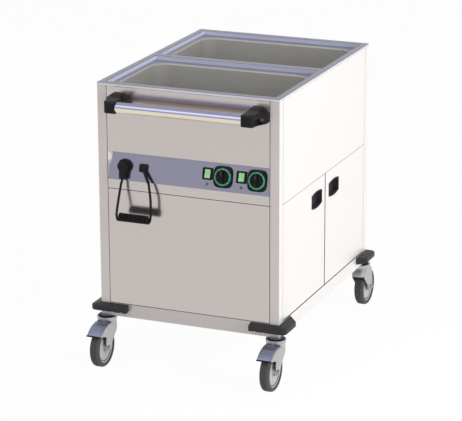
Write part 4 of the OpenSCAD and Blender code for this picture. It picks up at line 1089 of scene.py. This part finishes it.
class TROLLEY_OT_plug(bpy.types.Operator):
    """Makes the parking socket, the plug in it and the outlet with its ribbed sleeve."""

    bl_idname = "trolley.plug"
    bl_label = "Plug and outlet"

    # The parking socket: radius, thickness, and radius and length of its body behind the panel.
    socket = (23.0, 8.0, 19.0, 16.0)
    plug_radius = 18.0
    plug_thickness = 13.0
    crown = 6.0
    # The neck's width, depth and corner radius.
    neck = (24.0, 15.0, 6.0)
    # The neck's grip ribs: distance along it, and share of its full width and depth.
    neck_rings = [
        (0, 1.0), (20, 1.0), (25, 0.98), (26, 0.9), (27.5, 0.9), (28.5, 0.98), (30, 0.98),
        (31, 0.88), (32.5, 0.88), (33.5, 0.95), (35, 0.95), (36, 0.84), (38, 0.84), (39, 0.78),
    ]
    # A contact pin's radius, the pins' pitch and their length.
    pin = (2.4, 19.0, 19.0)
    # The outlet: its flange's width, length, corner radius and thickness, its thread's radius and length, its
    # nut's radius and two depths, and its sleeve's radius at both ends.
    flange = (27.0, 26.0, 5.0, 8.0)
    thread = (10.0, 12.0)
    nut = (14.0, 1.5, 6.6)
    sleeve = (6.2, 4.7)
    sleeve_end = (-122.0, -414.0, 604.0)
    sleeve_bore = 3.75
    ribs, rib_depth = 6, 0.7

    def execute(self, context):
        place = on_fascia(PLUG_X, CONTROL_T)
        radius, thickness, body_r, body_l = self.socket
        profile = [
            (body_r, -body_l), (body_r, 0.0), (radius, 0.0), (radius, thickness - 2.0),
            (radius - 0.6, thickness - 0.6), (radius - 2.0, thickness),
        ]
        socket_mesh = lathe("parking_socket_moulded", profile, place)
        piece("parking_socket_moulded", socket_mesh, "black", "black_plastic", "cabinet", ["parking_socket"])
        self.make_plug(place, thickness)
        self.make_outlet(on_fascia(OUTLET_X, CONTROL_T))
        return {"FINISHED"}

    def make_plug(self, place, base):
        top = base + self.plug_thickness
        radius = self.plug_radius
        profile = [
            (radius - 0.8, base), (radius, base + 0.8), (radius, top - 1.0), (radius - 0.8, top),
            (radius - 3.2, top + self.crown * 0.55), (radius - 5.2, top + self.crown * 0.85),
            (radius - 7.5, top + self.crown), (0.0, top + self.crown),
        ]
        dome = lathe("dome", profile, place)
        width, depth, corner = self.neck
        middle = base + depth / 2
        rings = []
        for along, share in self.neck_rings:
            outline = rounded(width * share, depth * share, corner * share, 5)
            rings.append([(px, -along, middle + pz) for px, pz in outline])
        neck_mesh = loft("neck", rings, matrix=place)
        plug = join_meshes("plug_moulded", [dome, neck_mesh])
        piece("plug_moulded", plug, "black", "black_plastic", "cabinet", ["plug"], smooth=32.0)
        pin_r, pitch, pin_l = self.pin
        profile = [(0, -pin_l), (pin_r - 0.8, -pin_l), (pin_r, 1 - pin_l), (pin_r, 0.5)]
        pins = [
            lathe("pin", profile, place @ moved(side * pitch / 2, 0, base), 24) for side in SIDES.values()
        ]
        piece("plug_pins", join_meshes("plug_pins", pins), "zinc", "zinc", "cabinet")

    def make_outlet(self, place):
        width, length, corner, thickness = self.flange
        rings = stack(
            (rounded(width - 2 * inset, length - 2 * inset, corner - inset, 5), height)
            for inset, height in ((0, 0), (0, thickness - 2.2), (0.7, thickness - 0.7), (2.2, thickness))
        )
        flange_mesh = loft("flange", rings, matrix=place)
        thread_r, thread_l = self.thread
        nut_r, nut_top, nut_foot = self.nut
        profile = [
            (thread_r, -thread_l), (thread_r, -nut_foot), (nut_r, 0.1 - nut_foot),
            (nut_r, -0.1 - nut_top), (thread_r, -nut_top), (thread_r, 0.5),
        ]
        thread_mesh = lathe("thread", profile, place, 48)
        start = place @ Vector((0, 0, 5 * MM))
        end = Vector(self.sleeve_end) * MM
        way = end - start
        turn = way.to_track_quat("Z", "Y").to_matrix().to_4x4()
        base_r, tip_r = self.sleeve
        reach = way.length / MM
        profile = [(0.0, 0.0)]
        for k in range(self.ribs * 4 + 1):
            share = k / (self.ribs * 4)
            groove = 0.0 if k % 4 in (0, 1) else self.rib_depth
            profile.append((base_r + (tip_r - base_r) * share - groove, reach * share))
        profile.append((self.sleeve_bore, reach))
        sleeve_mesh = lathe("sleeve", profile, Matrix.Translation(start) @ turn, 40)
        joined = join_meshes("cord_outlet", [flange_mesh, thread_mesh, sleeve_mesh])
        node = "cord_outlet"
        piece(f"{node}_moulded", joined, "black", "black_plastic", "cabinet", [node], smooth=32.0)


class TROLLEY_OT_grips(bpy.types.Operator):
    """Moulds the recessed grips: an arched cup in each door with a thin frame round its mouth."""

    bl_idname = "trolley.grips"
    bl_label = "Door grips"

    # Width, height at the middle, and how much lower the ends are at top and bottom.
    size = (89.0, 52.0, 6.0)
    depth = 14.0
    wall = 1.5
    lip = 0.8
    steps = 10

    def execute(self, context):
        # Shrink of the outline, and height over the door's face.
        stations = [
            (self.wall * 0.2, -self.depth), (0.0, -self.depth + 1.0), (0.0, -0.1), (-1.6, -0.1),
            (-1.6, self.lip - 0.4), (-1.0, self.lip), (1.2, self.lip), (2.4, self.lip - 0.6), (3.4, -1.5),
            (5.6, -self.depth + 5.0), (8.0, -self.depth + self.wall + 0.6), (11.0, -self.depth + self.wall),
        ]
        for end in ("front", "rear"):
            node = f"door_grip_{end}"
            low, high = box_mm(node)
            centre = (low + high) / 2
            mesh = loft(node, [
                [(high.x + height, centre.y + y, centre.z + z) for y, z in self.outline(shrink)]
                for shrink, height in stations
            ])
            piece(f"{node}_moulded", mesh, "black", "black_plastic", f"door_{end}_body", [node], smooth=50.0)
        return {"FINISHED"}

    def outline(self, shrink):
        """The grip's outline, with straight ends and arched top and bottom, a distance in from its edge."""
        width, height, rise = self.size
        half = width / 2
        radius = (half**2 + rise**2) / (2 * rise)
        span = half - shrink
        points = []
        for k in range(self.steps + 1):
            y = span - 2 * span * k / self.steps
            drop = radius - math.sqrt(radius**2 - y**2)
            points.append((y, height / 2 - shrink - drop))
        return points + [(-y, -z) for y, z in points]


class TROLLEY_OT_casters(bpy.types.Operator):
    """Builds the four casters: pressed forks, tyres with grooves, moulded hubs and two brake pedals."""

    bl_idname = "trolley.casters"
    bl_label = "Casters"

    # Where the kingpins stand, and how far the axles trail behind them.
    axis = (281.5, 387.5)
    trail = 40.0
    axle_z = 62.5
    wheel_radius = 62.5
    # The tyre's thickness, width and shoulder radius, and the place and thickness of a fork's leg.
    tyre = (13.0, 32.0, 9.0)
    groove_depth = 0.7
    leg = (20.0, 3.0)
    # Height and reach of the rings of the fork's nose, from its neck down to its lip.
    nose = [(144.0, 20.0), (138.0, 22.5), (131.0, 27.0), (124.0, 31.0), (117.0, 33.0), (114.5, 33.0)]
    nose_bend = 15.0
    nose_end = -8.0
    nose_inset = 0.15
    # The fork's cup: radius, lowest and highest z, inner radius and height of its floor.
    cup = (31.0, 141.0, 154.0, 23.5, 146.0)
    kingpin_bore = 6.05
    # The hub: its boss's radius and half length, its web's half thickness and its bore's radius.
    hub_boss = (13.0, 19.6, 8.5, 4.05)
    # The brake's hood: radius about the axle, thickness and gap to the fork.
    hood = (79.0, 2.0, 0.4)
    hood_bend = 7.0
    # Angle from the rear and height of the lower edge of the rings of the brake's hood.
    hood_rings = [
        (85.5, 121), (92, 114), (99, 108), (106, 104), (114, 103), (122, 106), (129, 110), (135, 114),
        (137.4, 116),
    ]
    pad_angles = (106, 130)
    pad_thickness = 7.2

    def execute(self, context):
        for corner, (side_x, side_y) in CORNERS.items():
            place = moved(side_x * self.axis[0], side_y * self.axis[1], 0)
            if side_y > 0:
                place = place @ Matrix.Scale(-1, 4, Vector((0, 1, 0)))
            self.make_fork(corner, place)
            self.make_wheel(corner, place, context.scene.trolley_sizes.tread_grooves)
            self.make_dust_seal(corner, place)
            if side_y < 0:
                self.make_brake(corner, place)
        return {"FINISHED"}

    def across(self, y=0, z=0):
        """Turns local x and y into the caster's own y and z, with local z running across it."""
        turn = Matrix(((0, 0, 1, 0), (1, 0, 0, 0), (0, 1, 0, 0), (0, 0, 0, 1)))
        return moved(0, y, z) @ turn

    def pair(self, name, outline, inner, outer, place):
        """Two like plates, one on each side of the wheel."""
        plates = []
        for side in SIDES.values():
            low, high = sorted((side * inner, side * outer))
            plates.append(extrude(name, outline, low, high, place @ self.across()))
        return plates

    def make_fork(self, corner, place):
        radius, low, high, inner, floor = self.cup
        bore = self.kingpin_bore
        profile = [
            (bore, low), (radius - 3.0, low), (radius - 1.0, low + 1.0), (radius, low + 3.0),
            (radius, high - 0.6), (radius - 0.6, high), (inner + 0.6, high), (inner, high - 0.6),
            (inner, floor), (bore, floor),
        ]
        cup = lathe("cup", profile, place, 72, closed=True)
        back, up = -self.trail, self.axle_z
        outline = filleted([
            (14, low + 1), (20, 130), (22, 108), (4, 90), (-12, 76), (back + 20, up - 2), (back + 7, up - 11),
            (back - 6, up - 11), (back - 12, up + 2), (back - 15, 84), (back - 12, 112), (-42, 134),
            (-20, low + 1),
        ], [3, 6, 16, 20, 20, 14, 9, 9, 14, 24, 20, 14, 3])
        inside, thickness = self.leg
        parts = [cup, *self.pair("leg", outline, inside, inside + thickness, place)]
        node, body = f"fork_{corner}", f"caster_{corner}"
        nose = self.cowl(place, inside + thickness)
        piece(f"{node}_nose", nose, "zinc", "zinc", body, smooth=40.0)
        piece(f"{node}_pressed", join_meshes(node, parts), "zinc", "zinc", body, [node], edge=0.7)

    def make_dust_seal(self, corner, place):
        """A black ring round the swivel head, between the base and the fork's cup: a seal that also stands in
        for the shade in the gap over the cup.
        """
        high, inner = self.cup[2:4]
        seal_in, seal_out, seal_top = inner - 0.4, inner + 1.2, high + 4.4
        seal = [(seal_in, high - 3.0), (seal_out, high + 0.6), (seal_out, seal_top), (seal_in, seal_top)]
        mesh = lathe(f"seal_and_shade_ring_{corner}", seal, place, 64, closed=True)
        piece(f"seal_and_shade_ring_{corner}", mesh, "rubber", "black_plastic", "cabinet")

    def cowl(self, place, half):
        """The pressing's rounded nose, which joins both legs over the wheel."""
        rings = []
        half -= self.nose_inset
        for height, front in self.nose:
            ring = []
            for inset in (0.0, self.leg[1] - 2 * self.nose_inset):
                reach, bend = front - inset, self.nose_bend - inset
                side = arc((reach - bend, half - inset - bend), bend, 90, 0, 6)
                around = [(self.nose_end, half - inset), *side]
                around += [(y, -x) for y, x in reversed(around)]
                ring += around if not inset else around[::-1]
            rings.append([(x, y, height) for y, x in ring])
        return loft("cowl", rings, matrix=place)

    def make_wheel(self, corner, place, grooves):
        axle = place @ self.across(-self.trail, self.axle_z)
        thick, width, shoulder = self.tyre
        radius, inner, half = self.wheel_radius, self.wheel_radius - thick, width / 2
        profile = [(inner, -half + 1.5), (inner + 1.5, -half)]
        profile += [(r, z) for z, r in arc((-half + shoulder, radius - shoulder), shoulder, 180, 90, 8)]
        flat = half - shoulder
        for k in range(grooves):
            middle = flat * (2 * (k + 0.5) / grooves - 1)
            deep = radius - self.groove_depth
            profile += [(radius, middle - 0.6), (deep, middle - 0.3)]
            profile += [(deep, middle + 0.3), (radius, middle + 0.6)]
        profile += [(r, z) for z, r in arc((half - shoulder, radius - shoulder), shoulder, 90, 0, 8)]
        profile += [(inner + 1.5, half), (inner, half - 1.5)]
        body, node = f"wheel_{corner}", f"tyre_{corner}"
        tyre_mesh = lathe(node, profile, axle, 96, closed=True)
        piece(f"{node}_moulded", tyre_mesh, "tyre", "tyre_rubber", body, [node], smooth=28.0)
        boss_r, boss_l, web, bore = self.hub_boss
        rim_w, rim_in = half - 4.0, inner - 7.0
        half_profile = [
            (bore, boss_l), (boss_r - 1.0, boss_l), (boss_r, boss_l - 1.0), (boss_r + 0.6, web + 1.5),
            (boss_r + 2.0, web), (rim_in - 1.0, web + 1.5), (rim_in, web + 0.5), (rim_in, web - 5.0),
            (rim_in + 3.0, web - 5.0), (rim_in + 3.0, rim_w - 0.6), (rim_in + 3.6, rim_w), (inner, rim_w),
        ]
        profile = half_profile + [(r, -z) for r, z in reversed(half_profile)]
        node = f"hub_{corner}"
        hub_mesh = lathe(node, profile, axle, 96, closed=True)
        piece(f"{node}_moulded", hub_mesh, "hub", "hub_plastic", body, [node], smooth=28.0)

    def make_brake(self, corner, place):
        radius, thickness, gap = self.hood
        wall_in = sum(self.leg) + gap
        wall_out = wall_in + thickness
        centre = (-self.trail, self.axle_z)
        side_on = place @ self.across()
        ear = filleted([
            (-11, 125), (-11, 136), (-20, 138), (-34, 139), (-46, 136), (-46, 116), (-26, 119),
        ], [3, 3, 4, 2, 2, 4, 6], 4)
        pin = extrude("pin", arc((-18, 131), 2.5, 0, 345, 23), -wall_out - 0.6, wall_out + 0.6, side_on)
        hood = self.hood_shell(place, centre, wall_out)
        parts = [hood, *self.pair("ear", ear, wall_in + 0.1, wall_out - 0.1, place), pin]
        node = f"brake_{corner}"
        piece(f"{node}_pressed", join_meshes(node, parts), "zinc", "zinc", f"pedal_{corner}", [node])
        half = self.tyre[1] / 2 - 2
        start, end = self.pad_angles
        pad_out, pad_in = radius - thickness, radius - thickness - self.pad_thickness
        pad_outline = arc(centre, pad_out, start, end, 8) + arc(centre, pad_in, end, start, 8)
        pad = extrude("pad", pad_outline, -half, half, side_on)
        # The black tread on the pedal's lip is a rubber tread and also painted shade under the lip.
        tread_outline = filleted([(-97.5, 114.2), (-102.0, 112.9), (-102.4, 114.4), (-98.2, 117.2)], 0.8, 3)
        tread = extrude("tread", tread_outline, 1.5 - wall_out, wall_out - 1.5, side_on)
        # Two black wedges inside the legs are painted shade: they darken the slot between each leg and the
        # hub.
        slot_shade_wedge = filleted([(-66, 108), (-54, 108), (-50, 86), (-54, 85)], 1.0, 3)
        slot_shade_wedges = self.pair("slot_shade_wedge", slot_shade_wedge, self.leg[0] - 0.4, self.leg[0] - 3.4, place)
        mesh = join_meshes(f"{node}_pad", [pad, tread, *slot_shade_wedges])
        piece(f"{node}_pad", mesh, "rubber", "black_plastic", f"pedal_{corner}", edge=0.4)

    def hood_shell(self, place, centre, wall_out):
        """The pedal's bent sheet: a curved top with round edges and side walls that run down to the fork."""
        radius, thickness = self.hood[:2]
        bend = self.hood_bend
        rings = []
        for angle, low in self.hood_rings:
            turn = math.radians(angle)
            ring = []
            for inset in (0.0, thickness):
                wall, top, corner = wall_out - inset, radius - inset, bend - inset
                floor = min((low - centre[1]) / math.sin(turn), radius - bend - 0.4)
                around = [(wall, floor), *arc((wall - corner, top - corner), corner, 0, 90, 6)]
                around += [(-x, r) for x, r in reversed(around)]
                ring += around if not inset else around[::-1]
            rings.append([
                (x, centre[0] + r * math.cos(turn), centre[1] + r * math.sin(turn)) for x, r in ring
            ])
        return loft("hood", rings, matrix=place)


class TROLLEY_OT_studio(bpy.types.Operator):
    """Sets a white floor and backdrop, with a soft key lamp on the right and a weak one above the front."""

    bl_idname = "trolley.studio"
    bl_label = "Studio"

    white = (1.0, 1.0, 1.0, 1.0)
    floor_radius = 22.0
    floor_drop_mm = 0.5
    floor_glow = 0.955

    def execute(self, context):
        scene = context.scene
        scene.view_settings.view_transform = "Standard"
        world = bpy.data.worlds.new("studio")
        scene.world = world
        world.use_nodes = True
        tree = world.node_tree
        tree.nodes.clear()
        ambient = add_node(tree, "ShaderNodeBackground", Color=self.white, Strength=0.5)
        backdrop = add_node(tree, "ShaderNodeBackground", Color=self.white, Strength=1.0)
        mix = add_node(tree, "ShaderNodeMixShader", [
            (self.seen_directly(tree), "Fac"), (ambient.outputs[0], 1), (backdrop.outputs[0], 2),
        ])
        add_node(tree, "ShaderNodeOutputWorld", [(mix.outputs[0], "Surface")])
        self.make_floor(context)
        self.make_lamp(context, "key", (5.4, -1.2, 1.9), (0.3, 0.0, 0.5), 3.0, 315.0, mirrored=False)
        self.make_lamp(context, "front", (-2.0, -4.2, 4.6), (0.0, 0.0, 0.5), 3.0, 70.0)
        return {"FINISHED"}

    def seen_directly(self, tree):
        """One for rays that show the backdrop itself: to the camera, in metal, and through glass."""
        paths = add_node(tree, "ShaderNodeLightPath")
        kinds = ("Camera", "Glossy", "Transmission")
        camera, glossy, clear = (paths.outputs[f"Is {kind} Ray"] for kind in kinds)
        seen = add_node(tree, "ShaderNodeMath", [(camera, 0), (glossy, 1)], operation="ADD")
        both = [(seen.outputs[0], 0), (clear, 1)]
        return add_node(tree, "ShaderNodeMath", both, operation="ADD", use_clamp=True).outputs[0]

    def make_floor(self, context):
        mesh = bpy.data.meshes.new("floor")
        work = bmesh.new()
        bmesh.ops.create_circle(work, cap_ends=True, segments=96, radius=self.floor_radius)
        work.to_mesh(mesh)
        work.free()
        floor = bpy.data.objects.new("floor", mesh)
        floor.location.z = -self.floor_drop_mm * MM
        floor.visible_shadow = False
        context.scene.collection.objects.link(floor)
        material, tree, shader = new_material("paper_floor_pale")
        shader.inputs["Base Color"].default_value = linear("#FFFFFF")
        shader.inputs["Roughness"].default_value = 1.0
        shader.inputs["Specular IOR Level"].default_value = 0.0
        glow = add_node(tree, "ShaderNodeEmission", Color=self.white, Strength=1.0)
        share = add_node(tree, "ShaderNodeMath", [(self.seen_directly(tree), 0)], operation="MULTIPLY")
        share.inputs[1].default_value = self.floor_glow
        mix = add_node(tree, "ShaderNodeMixShader", [
            (share.outputs[0], "Fac"), (shader.outputs[0], 1), (glow.outputs[0], 2),
        ])
        output = next(n for n in tree.nodes if n.bl_idname == "ShaderNodeOutputMaterial")
        tree.links.new(mix.outputs[0], output.inputs["Surface"])
        mesh.materials.append(material)

    def make_lamp(self, context, name, place, aim, size, power, mirrored=True):
        """A soft lamp; one that isn't mirrored leaves no white patch on polished sheet."""
        data = bpy.data.lights.new(name, "AREA")
        data.shape = "DISK"
        data.size = size
        data.energy = power
        lamp = bpy.data.objects.new(name, data)
        lamp.location = place
        lamp.rotation_euler = (Vector(aim) - Vector(place)).to_track_quat("-Z", "Y").to_euler()
        lamp.visible_camera = False
        lamp.visible_glossy = mirrored
        context.scene.collection.objects.link(lamp)


OPERATORS = (
    TROLLEY_OT_camera,
    TROLLEY_OT_plug,
    TROLLEY_OT_cord,
    TROLLEY_OT_cabinet,
    TROLLEY_OT_top,
    TROLLEY_OT_wells,
    TROLLEY_OT_handle,
    TROLLEY_OT_bumpers,
    TROLLEY_OT_thermostats,
    TROLLEY_OT_switches,
    TROLLEY_OT_grips,
    TROLLEY_OT_casters,
    TROLLEY_OT_studio,
)


class TROLLEY_PT_panel(bpy.types.Panel):
    """Lists the trolley's sizes, colours and operators in the sidebar."""

    bl_idname = "TROLLEY_PT_panel"
    bl_label = "Heated Serving Trolley"
    bl_space_type = "VIEW_3D"
    bl_region_type = "UI"
    bl_category = "Trolley"

    def draw(self, context):
        layout = self.layout
        for group in (context.scene.trolley_sizes, context.scene.trolley_colours):
            for name in group.__annotations__:
                layout.prop(group, name)
        for operator in OPERATORS:
            layout.operator(operator.bl_idname)


CLASSES = (TrolleySizes, TrolleyColours, *OPERATORS, TROLLEY_PT_panel)


def register():
    for entry in CLASSES:
        bpy.utils.register_class(entry)
    bpy.types.Scene.trolley_sizes = PointerProperty(type=TrolleySizes)
    bpy.types.Scene.trolley_colours = PointerProperty(type=TrolleyColours)


def unregister():
    del bpy.types.Scene.trolley_colours
    del bpy.types.Scene.trolley_sizes
    for entry in reversed(CLASSES):
        bpy.utils.unregister_class(entry)


def main():
    register()
    MATERIALS.update(make_materials())
    for operator in OPERATORS:
        family, name = operator.bl_idname.split(".")
        getattr(getattr(bpy.ops, family), name)()


if __name__ == "__main__":
    main()
